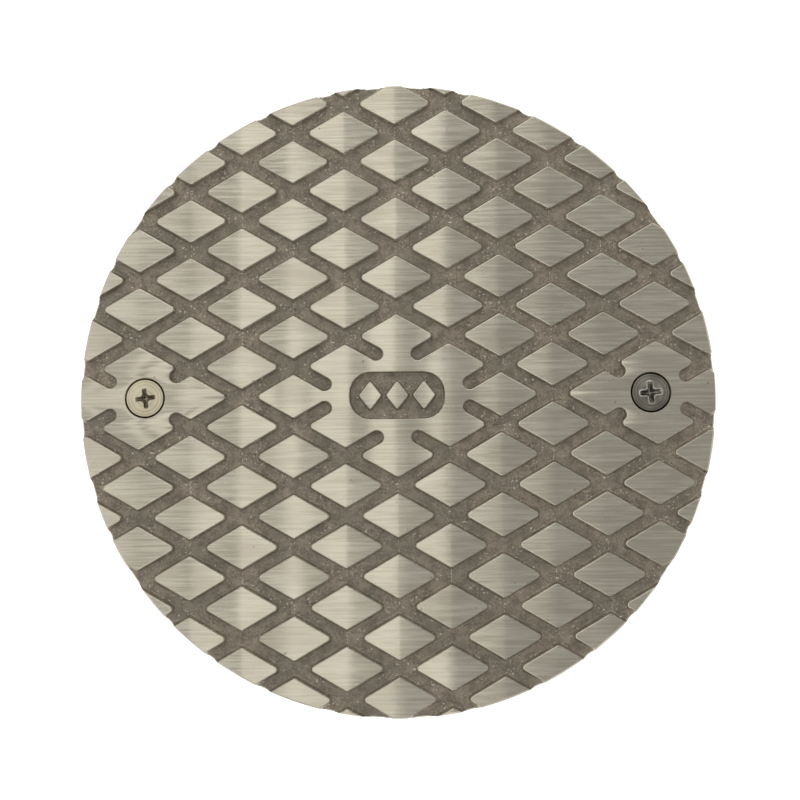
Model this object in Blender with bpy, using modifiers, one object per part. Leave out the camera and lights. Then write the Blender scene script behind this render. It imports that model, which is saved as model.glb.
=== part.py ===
"""Round adjustable floor cleanout: a scoriated cover on a height-adjusting frame, over a plugged pipe body.

The origin is the centre of the outlet's end face and +Z points up to the finished floor.
Every size is in metres, written in millimetres times MM.
"""

import math

import bmesh
import bpy
from mathutils import Matrix, Vector

MM = 0.001

# Clearances
SEAT_GAP = 0.3 * MM  # between pieces that rest on one another
TURN_GAP = 0.5 * MM  # beside a piece that turns in another
CUT_OVERRUN = 2.0 * MM  # how far a cutter runs past the metal it cuts

# Cover plate
COVER_DIAMETER = 155.6 * MM
COVER_BASE = 4.9 * MM
TREAD_HEIGHT = 1.5 * MM
COVER_EDGE_CHAMFER = 0.5 * MM
GROOVE_SPACING = 12.7 * MM  # between the middles of neighbouring parallel grooves
GROOVE_WIDTH = 3.3 * MM
GROOVE_ANGLE = math.radians(30)  # either side of the line through the screws
EMBLEM_SLOT_REACH = 1.6 * MM  # how far the slots run in past the middle of the outer diamonds' sides
EMBLEM_LENGTH = 23.3 * MM
EMBLEM_WIDTH = 11.6 * MM
EMBLEM_CORNER = 5.2 * MM
EMBLEM_MARKS = 3
EMBLEM_MARK_LENGTH = 5.6 * MM
EMBLEM_MARK_WIDTH = 7.2 * MM
EMBLEM_MARK_PITCH = 6.6 * MM
LOCATING_RING_REACH = 2.0 * MM  # how far it enters the frame
LOCATING_RING_WALL = 2.2 * MM
COVER_RIBS = 6
COVER_RIB_WIDTH = 3.0 * MM
COVER_RIB_DEPTH = 3.0 * MM
COVER_HUB_RADIUS = 9.0 * MM

# Cover screws: No. 10 undercut flat head, each with a sealing ring under its head
SCREW_CENTRES = 124.0 * MM
SCREW_CLEAR_OF_GROOVES = 9.5 * MM  # from the screw's axis to the round end of each groove
SCREW_HEAD_RADIUS = 4.6 * MM
SCREW_HEAD_LAND = 0.3 * MM
SCREW_HEAD_UNDER_RADIUS = 3.4 * MM
SCREW_SHANK_RADIUS = 2.4 * MM
SCREW_LENGTH = 19.0 * MM
SCREW_TIP_CHAMFER = 0.8 * MM
SCREW_SUNK = 0.3 * MM  # head below the tread
COUNTERSINK_HALF_ANGLE = math.radians(41)
COUNTERSINK_CLEARANCE = 0.2 * MM
LEFT_SCREW_TURN = math.radians(7)
RIGHT_SCREW_TURN = math.radians(5)
RECESS_SPAN = 5.2 * MM
RECESS_WING = 1.1 * MM
RECESS_DEPTH = 1.9 * MM
SCREW_SEAL_THICKNESS = 0.9 * MM
SCREW_SEAL_RADIUS = 3.3 * MM
SCREW_SEAL_BORE = 2.5 * MM
SCREW_HOLE_CLEARANCE = 0.3 * MM
TAPPED_HOLE_CLEARANCE = 0.06 * MM

# Gaskets
COVER_GASKET = 1.4 * MM
FRAME_GASKET = 1.4 * MM
PLUG_GASKET = 2.0 * MM

# Height-adjusting frame
FRAME_OVERHANG = 0.8 * MM  # how far the cover stands proud of the frame all round
FRAME_RIM = 5.0 * MM  # width of the land that carries the cover
FRAME_DEPTH = 16.0 * MM
FRAME_FLOOR = 3.5 * MM
FRAME_LIP_HEIGHT = 6.0 * MM
FRAME_TAPER = 6.5 * MM  # how far the dish draws in below its lip
LUG_RADIUS = 6.5 * MM
LUG_CLEARANCE = 1.0 * MM  # between the lugs' tops and the cover's locating ring
LUG_WEB_SETBACK = 1.5 * MM  # from the webs' ends to the dish's outer face
LUG_HOLE_FLOOR = 1.0 * MM
SHANK_RADIUS = 61.5 * MM
SHANK_WALL = 6.5 * MM
SHANK_LENGTH = 30.0 * MM
SHANK_LEAD_CHAMFER = 1.5 * MM

# Body
OUTLET_RADIUS = 55.6 * MM
OUTLET_BORE = 47.0 * MM
OUTLET_LENGTH = 30.0 * MM
OUTLET_BEAD = 1.8 * MM
OUTLET_BEAD_HEIGHT = 6.0 * MM
THROAT_DEPTH = 12.0 * MM  # the tapped throat that takes the plug
BARREL_WALL = 6.0 * MM
BARREL_RIM = 2.5 * MM
BARREL_RIM_HEIGHT = 6.0 * MM
SHANK_FLOOR_GAP = 4.0 * MM  # from the lowered shank to the body's shoulder
ANCHOR_FLANGE_RADIUS = 76.0 * MM
ANCHOR_FLANGE_THICKNESS = 5.0 * MM
ANCHOR_FLANGE_DROP = 22.0 * MM  # below the barrel's rim
ANCHOR_NOTCHES = 4
ANCHOR_NOTCH_RADIUS = 6.0 * MM
GUSSETS = 4
GUSSET_WIDTH = 5.0 * MM
GUSSET_HEIGHT = 9.0 * MM
GUSSET_SETBACK = 1.5 * MM  # back from the flange's edge, and out from the barrel at its foot

# Closure plug
PLUG_THREAD_RADIUS = 50.5 * MM
PLUG_THREAD_LENGTH = 11.0 * MM
PLUG_FLANGE_RADIUS = 53.3 * MM
PLUG_FLANGE = 4.0 * MM
PLUG_WALL = 5.0 * MM
PLUG_SQUARE = 26.0 * MM
PLUG_SQUARE_HEIGHT = 10.0 * MM

LARGE_SEGMENTS = 72
SMALL_SEGMENTS = 24
CAP_SEGMENTS = 16
WELD = 0.00001

# Levels, from the outlet up
COVER_RADIUS = COVER_DIAMETER / 2
SHOULDER_Z = OUTLET_LENGTH + THROAT_DEPTH
SHANK_FOOT_Z = SHOULDER_Z + SHANK_FLOOR_GAP
FRAME_FOOT_Z = SHANK_FOOT_Z + SHANK_LENGTH
BARREL_TOP_Z = FRAME_FOOT_Z - FRAME_GASKET - 2 * SEAT_GAP
FRAME_TOP_Z = FRAME_FOOT_Z + FRAME_DEPTH
COVER_FOOT_Z = FRAME_TOP_Z + COVER_GASKET + 2 * SEAT_GAP
TREAD_FOOT_Z = COVER_FOOT_Z + COVER_BASE
TREAD_TOP_Z = TREAD_FOOT_Z + TREAD_HEIGHT
SCREW_TOP_Z = TREAD_TOP_Z - SCREW_SUNK

# Sizes that follow from a neighbour
SCREW_X = SCREW_CENTRES / 2
FRAME_RADIUS = COVER_RADIUS - FRAME_OVERHANG
FRAME_INNER_RADIUS = FRAME_RADIUS - FRAME_RIM
LOCATING_RING_RADIUS = FRAME_INNER_RADIUS - TURN_GAP
LOCATING_RING_FOOT_Z = FRAME_TOP_Z - LOCATING_RING_REACH
LUG_TOP_Z = LOCATING_RING_FOOT_Z - LUG_CLEARANCE
SHANK_BORE = SHANK_RADIUS - SHANK_WALL
BARREL_BORE = SHANK_RADIUS + TURN_GAP
BARREL_RADIUS = BARREL_BORE + BARREL_WALL
THROAT_BORE = PLUG_THREAD_RADIUS + SEAT_GAP
SCREW_CONE_DEPTH = (SCREW_HEAD_RADIUS - SCREW_HEAD_UNDER_RADIUS) / math.tan(COUNTERSINK_HALF_ANGLE)
SCREW_HEAD_FOOT_Z = SCREW_TOP_Z - SCREW_HEAD_LAND - SCREW_CONE_DEPTH
SCREW_SEAL_TOP_Z = SCREW_HEAD_FOOT_Z - SEAT_GAP
SEAL_POCKET_RADIUS = SCREW_HEAD_UNDER_RADIUS + COUNTERSINK_CLEARANCE
SEAL_POCKET_FLOOR_Z = SCREW_SEAL_TOP_Z - SCREW_SEAL_THICKNESS - SEAT_GAP


def clear_scene():
    for obj in list(bpy.data.objects):
        bpy.data.objects.remove(obj)


def new_collection(name):
    made = bpy.data.collections.new(name)
    bpy.context.scene.collection.children.link(made)
    return made


def new_material(name, colour, metallic, roughness):
    material = bpy.data.materials.new(name)
    material.use_nodes = True
    shader = material.node_tree.nodes["Principled BSDF"]
    shader.inputs["Base Color"].default_value = (*colour, 1.0)
    shader.inputs["Metallic"].default_value = metallic
    shader.inputs["Roughness"].default_value = roughness
    return material


def mesh_object(name, bm, collection):
    mesh = bpy.data.meshes.new(name)
    bm.to_mesh(mesh)
    bm.free()
    obj = bpy.data.objects.new(name, mesh)
    collection.objects.link(obj)
    return obj


def turned(name, profile, collection, segments=LARGE_SEGMENTS):
    """A closed (radius, z) outline, listed down its outer side, turned about the Z axis."""
    bm = bmesh.new()
    points = [bm.verts.new((radius, 0, z)) for radius, z in profile]
    closed = min(radius for radius, _ in profile) > WELD
    ends = points[1:] + points[:1] if closed else points[1:]
    for start, end in zip(points, ends):
        bm.edges.new((start, end))
    obj = mesh_object(name, bm, collection)
    screw = obj.modifiers.new("turn", "SCREW")
    screw.steps = screw.render_steps = segments
    screw.use_merge_vertices = not closed
    screw.merge_threshold = WELD
    screw.use_smooth_shade = False
    return obj


def block(name, size, centre, collection, turn=0.0):
    """A box of that size, turned about the vertical through its centre."""
    bm = bmesh.new()
    place = Matrix.Translation(centre) @ Matrix.Rotation(turn, 4, "Z") @ Matrix.Diagonal((*size, 1))
    bmesh.ops.create_cube(bm, size=1, matrix=place)
    return mesh_object(name, bm, collection)


def round_bar(name, radius, low, high, at, collection, segments=SMALL_SEGMENTS, top_radius=None):
    """An upright cylinder, or a cone where its top radius differs."""
    bm = bmesh.new()
    bmesh.ops.create_cone(
        bm,
        cap_ends=True,
        segments=segments,
        radius1=radius,
        radius2=radius if top_radius is None else top_radius,
        depth=high - low,
        matrix=Matrix.Translation((at[0], at[1], (low + high) / 2)),
    )
    return mesh_object(name, bm, collection)


def combine(obj, operation, others):
    """Adds one Boolean modifier for each of the other solids, which become hidden cutters."""
    for other in others:
        other.hide_render = True
        other.display_type = "WIRE"
        modifier = obj.modifiers.new(other.name, "BOOLEAN")
        modifier.operation = operation
        modifier.object = other


def combine_all(obj, operation, name, solids):
    """Adds one Boolean modifier for a whole collection of solids."""
    group = new_collection(name)
    for solid in solids:
        for holder in list(solid.users_collection):
            holder.objects.unlink(solid)
        group.objects.link(solid)
        solid.hide_render = True
        solid.display_type = "WIRE"
    modifier = obj.modifiers.new(name, "BOOLEAN")
    modifier.operation = operation
    modifier.operand_type = "COLLECTION"
    modifier.collection = group
    modifier.solver = "EXACT"


def groove_runs(offset, angle):
    """Where one groove line is cut, as (start, end) distances along it from the foot of its offset.

    A line that crosses the emblem's block of nine diamonds stops one diamond's side from the block's
    centre, and every line stops short of the screws.
    """
    reach = COVER_RADIUS + GROOVE_WIDTH
    along = Vector((math.cos(angle), math.sin(angle)))
    across = Vector((-math.sin(angle), math.cos(angle)))
    stops = []
    if abs(offset) < GROOVE_SPACING:
        side = GROOVE_SPACING / math.sin(2 * GROOVE_ANGLE)
        middle = -offset / math.tan(2 * angle)
        stops.append((middle - side + EMBLEM_SLOT_REACH, middle + side - EMBLEM_SLOT_REACH))
    for x in (-SCREW_X, SCREW_X):
        screw = Vector((x, 0))
        miss = screw.dot(across) - offset
        if abs(miss) < SCREW_CLEAR_OF_GROOVES:
            half = math.sqrt(SCREW_CLEAR_OF_GROOVES**2 - miss**2)
            stops.append((screw.dot(along) - half, screw.dot(along) + half))
    edges = [-reach, *[edge for stop in sorted(stops) for edge in stop], reach]
    return list(zip(edges[::2], edges[1::2]))


def groove_cutters(collection):
    """Bars for the grooves, with a round bar at each end that stops inside the rim."""
    cutters = []
    low, high = TREAD_FOOT_Z, TREAD_TOP_Z + CUT_OVERRUN
    count = math.ceil(COVER_RADIUS / GROOVE_SPACING)
    for angle in (GROOVE_ANGLE, -GROOVE_ANGLE):
        along = Vector((math.cos(angle), math.sin(angle)))
        across = Vector((-math.sin(angle), math.cos(angle)))
        for number in range(-count, count):
            offset = (number + 0.5) * GROOVE_SPACING
            if abs(offset) - GROOVE_WIDTH / 2 >= COVER_RADIUS:
                continue
            for start, end in groove_runs(offset, angle):
                middle = across * offset + along * (start + end) / 2
                size = (end - start, GROOVE_WIDTH, high - low)
                cutters.append(block("groove", size, (*middle, (low + high) / 2), collection, angle))
                for stop in (start, end):
                    at = across * offset + along * stop
                    if at.length < COVER_RADIUS:
                        end_cap = round_bar(
                            "groove_end", GROOVE_WIDTH / 2, low, high, at, collection, CAP_SEGMENTS
                        )
                        cutters.append(end_cap)
    return cutters


def emblem_pocket(collection):
    """The round-cornered pocket at the middle, as a cutter that leaves a row of small diamonds standing."""
    low, high = TREAD_FOOT_Z, TREAD_TOP_Z + CUT_OVERRUN
    middle = (0, 0, (low + high) / 2)
    pocket = block("emblem_pocket", (EMBLEM_LENGTH, EMBLEM_WIDTH, high - low), middle, collection)
    corners = pocket.modifiers.new("corners", "BEVEL")
    corners.width = EMBLEM_CORNER
    corners.segments = 6
    corners.limit_method = "WEIGHT"
    weights = pocket.data.attributes.new("bevel_weight_edge", "FLOAT", "EDGE")
    for edge, weight in zip(pocket.data.edges, weights.data):
        start, end = (pocket.data.vertices[index].co for index in edge.vertices)
        weight.value = 1.0 if abs(start.z - end.z) > WELD else 0.0
    marks = []
    for number in range(EMBLEM_MARKS):
        x = (number - (EMBLEM_MARKS - 1) / 2) * EMBLEM_MARK_PITCH
        mark = round_bar("emblem_mark", 1, low - CUT_OVERRUN, high + CUT_OVERRUN, (0, 0), collection, 4)
        shape = Matrix.Diagonal((EMBLEM_MARK_LENGTH / 2, EMBLEM_MARK_WIDTH / 2, 1, 1))
        mark.data.transform(Matrix.Translation((x, 0, 0)) @ shape)
        marks.append(mark)
    combine(pocket, "DIFFERENCE", marks)
    return pocket


def screw_hole_profile():
    """Countersink, pocket for the sealing ring and clearance hole, as a turned cutter's outline."""
    mouth = SCREW_HEAD_RADIUS + COUNTERSINK_CLEARANCE
    cone = (mouth - SEAL_POCKET_RADIUS) / math.tan(COUNTERSINK_HALF_ANGLE)
    hole = SCREW_SHANK_RADIUS + SCREW_HOLE_CLEARANCE
    cone_top_z = SCREW_TOP_Z - SCREW_HEAD_LAND
    return [
        (0, TREAD_TOP_Z + CUT_OVERRUN),
        (mouth, TREAD_TOP_Z + CUT_OVERRUN),
        (mouth, cone_top_z),
        (SEAL_POCKET_RADIUS, cone_top_z - cone),
        (SEAL_POCKET_RADIUS, SEAL_POCKET_FLOOR_Z),
        (hole, SEAL_POCKET_FLOOR_Z),
        (hole, COVER_FOOT_Z - CUT_OVERRUN),
        (0, COVER_FOOT_Z - CUT_OVERRUN),
    ]


def cover_ribs(collection):
    """The hub and the radial ribs that stiffen the cover's underside, clear of the screws."""
    low, top = COVER_FOOT_Z - COVER_RIB_DEPTH, COVER_FOOT_Z + COVER_BASE / 2
    length = LOCATING_RING_RADIUS - LOCATING_RING_WALL / 2
    ribs = [round_bar("hub", COVER_HUB_RADIUS, low, top, (0, 0), collection)]
    for number in range(COVER_RIBS):
        angle = math.tau * (number + 0.5) / COVER_RIBS
        middle = (math.cos(angle) * length / 2, math.sin(angle) * length / 2, (low + top) / 2)
        ribs.append(block("rib", (length, COVER_RIB_WIDTH, top - low), middle, collection, angle))
    return ribs


def make_cover(parts, cutters):
    ring_out = LOCATING_RING_RADIUS
    ring_in = ring_out - LOCATING_RING_WALL
    cover = turned(
        "cover_plate",
        [
            (0, TREAD_TOP_Z),
            (COVER_RADIUS - COVER_EDGE_CHAMFER, TREAD_TOP_Z),
            (COVER_RADIUS, TREAD_TOP_Z - COVER_EDGE_CHAMFER),
            (COVER_RADIUS, COVER_FOOT_Z),
            (ring_out, COVER_FOOT_Z),
            (ring_out, LOCATING_RING_FOOT_Z),
            (ring_in, LOCATING_RING_FOOT_Z),
            (ring_in, COVER_FOOT_Z),
            (0, COVER_FOOT_Z),
        ],
        parts,
    )
    combine_all(cover, "UNION", "cover_ribs", cover_ribs(cutters))
    combine_all(cover, "DIFFERENCE", "cover_grooves", groove_cutters(cutters))
    holes = [emblem_pocket(cutters)]
    for x in (-SCREW_X, SCREW_X):
        hole = turned("screw_hole", screw_hole_profile(), cutters, SMALL_SEGMENTS)
        hole.location.x = x
        holes.append(hole)
    combine(cover, "DIFFERENCE", holes)
    return cover


def make_screw(name, x, turn, parts, cutters):
    tip_z = SCREW_TOP_Z - SCREW_LENGTH
    screw = turned(
        name,
        [
            (0, SCREW_TOP_Z),
            (SCREW_HEAD_RADIUS, SCREW_TOP_Z),
            (SCREW_HEAD_RADIUS, SCREW_TOP_Z - SCREW_HEAD_LAND),
            (SCREW_HEAD_UNDER_RADIUS, SCREW_HEAD_FOOT_Z),
            (SCREW_SHANK_RADIUS, SCREW_HEAD_FOOT_Z),
            (SCREW_SHANK_RADIUS, tip_z + SCREW_TIP_CHAMFER),
            (SCREW_SHANK_RADIUS - SCREW_TIP_CHAMFER, tip_z),
            (0, tip_z),
        ],
        parts,
        SMALL_SEGMENTS,
    )
    height = RECESS_DEPTH + CUT_OVERRUN
    middle = (0, 0, SCREW_TOP_Z - RECESS_DEPTH + height / 2)
    size = (RECESS_SPAN, RECESS_WING, height)
    wings = [block("recess_wing", size, middle, cutters, turn + quarter) for quarter in (0, math.pi / 2)]
    combine_all(screw, "DIFFERENCE", name + "_recess", wings)
    for piece in (screw, *wings):
        piece.location.x = x
    return screw


def make_screw_seal(name, x, parts):
    seal = turned(
        name,
        [
            (SCREW_SEAL_RADIUS, SCREW_SEAL_TOP_Z),
            (SCREW_SEAL_RADIUS, SCREW_SEAL_TOP_Z - SCREW_SEAL_THICKNESS),
            (SCREW_SEAL_BORE, SCREW_SEAL_TOP_Z - SCREW_SEAL_THICKNESS),
            (SCREW_SEAL_BORE, SCREW_SEAL_TOP_Z),
        ],
        parts,
        SMALL_SEGMENTS,
    )
    seal.location.x = x
    return seal


def make_flat_ring(name, outer, inner, low, thickness, parts):
    profile = [(outer, low + thickness), (outer, low), (inner, low), (inner, low + thickness)]
    return turned(name, profile, parts)


def frame_lugs(collection):
    """The two lugs for the cover screws, each with a web to the dish's wall that follows its taper."""
    low = FRAME_FOOT_Z + FRAME_FLOOR / 2
    height = LUG_TOP_Z - low
    web_end = FRAME_RADIUS - LUG_WEB_SETBACK
    solids = []
    for side in (-1, 1):
        solids.append(round_bar("lug", LUG_RADIUS, low, LUG_TOP_Z, (side * SCREW_X, 0), collection))
        bm = bmesh.new()
        place = Matrix.Translation(((SCREW_X + web_end) / 2, 0, low + height / 2))
        size = Matrix.Diagonal((web_end - SCREW_X, 2 * LUG_RADIUS, height, 1))
        made = bmesh.ops.create_cube(bm, size=1, matrix=place @ size)
        for vertex in made["verts"]:
            if vertex.co.x > SCREW_X + WELD and vertex.co.z < low + WELD:
                vertex.co.x -= FRAME_TAPER
        bmesh.ops.transform(bm, matrix=Matrix.Rotation(math.pi * (side < 0), 4, "Z"), verts=bm.verts)
        solids.append(mesh_object("lug_web", bm, collection))
    return solids


def make_frame(parts, cutters):
    frame = turned(
        "top_frame",
        [
            (FRAME_RADIUS, FRAME_TOP_Z),
            (FRAME_RADIUS, FRAME_TOP_Z - FRAME_LIP_HEIGHT),
            (FRAME_RADIUS - FRAME_TAPER, FRAME_FOOT_Z),
            (SHANK_RADIUS, FRAME_FOOT_Z),
            (SHANK_RADIUS, SHANK_FOOT_Z + SHANK_LEAD_CHAMFER),
            (SHANK_RADIUS - SHANK_LEAD_CHAMFER, SHANK_FOOT_Z),
            (SHANK_BORE, SHANK_FOOT_Z),
            (SHANK_BORE, FRAME_FOOT_Z + FRAME_FLOOR),
            (FRAME_INNER_RADIUS - FRAME_TAPER, FRAME_FOOT_Z + FRAME_FLOOR),
            (FRAME_INNER_RADIUS, FRAME_TOP_Z - FRAME_LIP_HEIGHT),
            (FRAME_INNER_RADIUS, FRAME_TOP_Z),
        ],
        parts,
    )
    combine_all(frame, "UNION", "frame_lugs", frame_lugs(cutters))
    bore = SCREW_SHANK_RADIUS + TAPPED_HOLE_CLEARANCE
    low = FRAME_FOOT_Z + LUG_HOLE_FLOOR
    holes = [
        round_bar("tapped_hole", bore, low, LUG_TOP_Z + CUT_OVERRUN, (x, 0), cutters)
        for x in (-SCREW_X, SCREW_X)
    ]
    combine(frame, "DIFFERENCE", holes)
    return frame


def flange_gussets(flange_foot, collection):
    """Upright webs under the anchor flange, halfway between its notches, tapering to the barrel."""
    solids = []
    inner = BARREL_BORE + BARREL_WALL / 2
    outer = ANCHOR_FLANGE_RADIUS - GUSSET_SETBACK
    low, high = flange_foot - GUSSET_HEIGHT, flange_foot + ANCHOR_FLANGE_THICKNESS / 2
    size = (outer - inner, GUSSET_WIDTH, high - low, 1)
    for number in range(GUSSETS):
        bm = bmesh.new()
        place = Matrix.Translation(((inner + outer) / 2, 0, (low + high) / 2)) @ Matrix.Diagonal(size)
        made = bmesh.ops.create_cube(bm, size=1, matrix=place)
        for vertex in made["verts"]:
            if vertex.co.x > (inner + outer) / 2 and vertex.co.z < (low + high) / 2:
                vertex.co.x = BARREL_RADIUS + GUSSET_SETBACK
        turn = Matrix.Rotation(math.tau * number / GUSSETS, 4, "Z")
        bmesh.ops.transform(bm, matrix=turn, verts=bm.verts)
        solids.append(mesh_object("gusset", bm, collection))
    return solids


def make_body(parts, cutters):
    flange_top = BARREL_TOP_Z - ANCHOR_FLANGE_DROP
    flange_foot = flange_top - ANCHOR_FLANGE_THICKNESS
    neck_rise = BARREL_RADIUS - OUTLET_RADIUS
    body = turned(
        "body_housing",
        [
            (BARREL_RADIUS + BARREL_RIM, BARREL_TOP_Z),
            (BARREL_RADIUS + BARREL_RIM, BARREL_TOP_Z - BARREL_RIM_HEIGHT),
            (BARREL_RADIUS, BARREL_TOP_Z - BARREL_RIM_HEIGHT - BARREL_RIM),
            (BARREL_RADIUS, flange_top),
            (ANCHOR_FLANGE_RADIUS, flange_top),
            (ANCHOR_FLANGE_RADIUS, flange_foot),
            (BARREL_RADIUS, flange_foot),
            (BARREL_RADIUS, OUTLET_LENGTH + neck_rise / 2),
            (OUTLET_RADIUS, OUTLET_LENGTH - neck_rise / 2),
            (OUTLET_RADIUS, OUTLET_BEAD_HEIGHT),
            (OUTLET_RADIUS + OUTLET_BEAD, OUTLET_BEAD_HEIGHT - OUTLET_BEAD),
            (OUTLET_RADIUS + OUTLET_BEAD, OUTLET_BEAD),
            (OUTLET_RADIUS, 0),
            (OUTLET_BORE, 0),
            (OUTLET_BORE, OUTLET_LENGTH),
            (THROAT_BORE, OUTLET_LENGTH),
            (THROAT_BORE, SHOULDER_Z),
            (BARREL_BORE, SHOULDER_Z),
            (BARREL_BORE, BARREL_TOP_Z),
        ],
        parts,
    )
    combine_all(body, "UNION", "body_gussets", flange_gussets(flange_foot, cutters))
    notches = []
    for number in range(ANCHOR_NOTCHES):
        angle = math.tau * (number + 0.5) / ANCHOR_NOTCHES
        at = (ANCHOR_FLANGE_RADIUS * math.cos(angle), ANCHOR_FLANGE_RADIUS * math.sin(angle))
        low, high = flange_foot - CUT_OVERRUN, flange_top + CUT_OVERRUN
        notches.append(round_bar("notch", ANCHOR_NOTCH_RADIUS, low, high, at, cutters))
    combine_all(body, "DIFFERENCE", "anchor_notches", notches)
    return body


def make_plug(parts, cutters):
    """A cup-shaped screw plug with a wrench square standing on its crown."""
    flange_foot = SHOULDER_Z + PLUG_GASKET + 2 * SEAT_GAP
    flange_top = flange_foot + PLUG_FLANGE
    thread_foot = flange_foot - PLUG_GASKET - 2 * SEAT_GAP - PLUG_THREAD_LENGTH
    plug = turned(
        "closure_plug",
        [
            (0, flange_top),
            (PLUG_FLANGE_RADIUS, flange_top),
            (PLUG_FLANGE_RADIUS, flange_foot),
            (PLUG_THREAD_RADIUS, flange_foot),
            (PLUG_THREAD_RADIUS, thread_foot),
            (PLUG_THREAD_RADIUS - PLUG_WALL, thread_foot),
            (PLUG_THREAD_RADIUS - PLUG_WALL, flange_top - PLUG_WALL),
            (0, flange_top - PLUG_WALL),
        ],
        parts,
    )
    low, high = flange_top - PLUG_WALL / 2, flange_top + PLUG_SQUARE_HEIGHT
    size = (PLUG_SQUARE, PLUG_SQUARE, high - low)
    combine(plug, "UNION", [block("wrench_square", size, (0, 0, (low + high) / 2), cutters)])
    return plug


def main():
    clear_scene()
    parts = new_collection("floor_cleanout")
    cutters = new_collection("cutters")
    nickel_bronze = new_material("nickel bronze, brushed", (0.52, 0.49, 0.42), 1.0, 0.38)
    steel = new_material("stainless screw", (0.42, 0.40, 0.36), 1.0, 0.35)
    iron = new_material("dipped grey iron", (0.05, 0.05, 0.052), 0.0, 0.62)
    brass = new_material("yellow brass", (0.66, 0.46, 0.18), 1.0, 0.4)
    rubber = new_material("black neoprene", (0.02, 0.02, 0.02), 0.0, 0.8)

    finished = [
        (make_cover(parts, cutters), nickel_bronze),
        (make_screw("cover_screw_left", -SCREW_X, LEFT_SCREW_TURN, parts, cutters), steel),
        (make_screw("cover_screw_right", SCREW_X, RIGHT_SCREW_TURN, parts, cutters), steel),
        (make_screw_seal("screw_seal_left", -SCREW_X, parts), rubber),
        (make_screw_seal("screw_seal_right", SCREW_X, parts), rubber),
        (make_frame(parts, cutters), nickel_bronze),
        (make_body(parts, cutters), iron),
        (make_plug(parts, cutters), brass),
    ]
    rings = (
        ("cover_gasket", FRAME_RADIUS - SEAT_GAP, FRAME_INNER_RADIUS + SEAT_GAP, FRAME_TOP_Z, COVER_GASKET),
        ("frame_gasket", BARREL_RADIUS, BARREL_BORE, BARREL_TOP_Z, FRAME_GASKET),
        ("plug_gasket", PLUG_FLANGE_RADIUS, THROAT_BORE, SHOULDER_Z, PLUG_GASKET),
    )
    for name, outer, inner, foot, thickness in rings:
        finished.append((make_flat_ring(name, outer, inner, foot + SEAT_GAP, thickness, parts), rubber))
    for obj, material in finished:
        obj.data.materials.append(material)


main()
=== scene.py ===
"""Looks for a round floor cleanout: diamond-tread cover, screws, seals, frame, plug and cast body.

Sizes are in millimetres until a mesh is made. The origin is the centre of the outlet's end face and
+Z points up to the finished floor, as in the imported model.
"""

from __future__ import annotations

import logging
import math
from collections.abc import Iterable, Sequence
from dataclasses import dataclass, field
from enum import Enum

import bmesh
import bpy
import numpy as np
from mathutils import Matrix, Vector
from mathutils.geometry import tessellate_polygon

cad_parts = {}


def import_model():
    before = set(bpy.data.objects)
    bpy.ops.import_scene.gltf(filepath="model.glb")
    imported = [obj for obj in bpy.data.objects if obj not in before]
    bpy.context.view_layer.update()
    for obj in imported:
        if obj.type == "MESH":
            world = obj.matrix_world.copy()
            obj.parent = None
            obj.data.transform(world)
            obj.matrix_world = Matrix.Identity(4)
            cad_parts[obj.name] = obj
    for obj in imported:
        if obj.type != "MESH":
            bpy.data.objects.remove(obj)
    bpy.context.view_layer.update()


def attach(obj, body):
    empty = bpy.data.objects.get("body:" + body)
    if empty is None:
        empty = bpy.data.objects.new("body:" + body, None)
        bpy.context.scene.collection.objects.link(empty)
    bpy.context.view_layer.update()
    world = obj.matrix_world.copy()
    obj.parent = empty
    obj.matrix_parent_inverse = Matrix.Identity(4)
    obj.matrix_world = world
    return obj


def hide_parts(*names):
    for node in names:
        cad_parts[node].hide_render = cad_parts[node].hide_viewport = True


LOG = logging.getLogger("cleanout")
MM = 0.001
WELD_MM = 0.0002
SHARP_ANGLE = math.radians(26)
ARC_STEP = math.radians(15)
ROUND_STEPS = 192
SMALL_STEPS = 64
LEVEL_FACING = 0.9985  # an upright facing beyond this counts as level
TOP_FACING = 0.9  # and beyond this as a ground top
BRUSH_MAP = "brushing"
BRUSH_REPEATS = 5.0  # of the brushing's map in a metre


# ----------------------------------------------------------------------------------------------
# Colour and node helpers
# ----------------------------------------------------------------------------------------------


def linear(hex_colour: str) -> tuple[float, float, float, float]:
    """Turns an sRGB hex colour into linear light.

    Args:
        hex_colour: six hex digits after a hash sign.

    Returns:
        Linear red, green, blue and an alpha of one.
    """
    srgb = np.array([int(hex_colour[i : i + 2], 16) for i in (1, 3, 5)]) / 255
    low = srgb / 12.92
    high = ((srgb + 0.055) / 1.055) ** 2.4
    red, green, blue = np.where(srgb <= 0.04045, low, high)
    return float(red), float(green), float(blue), 1.0


Socket = bpy.types.NodeSocket


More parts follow.
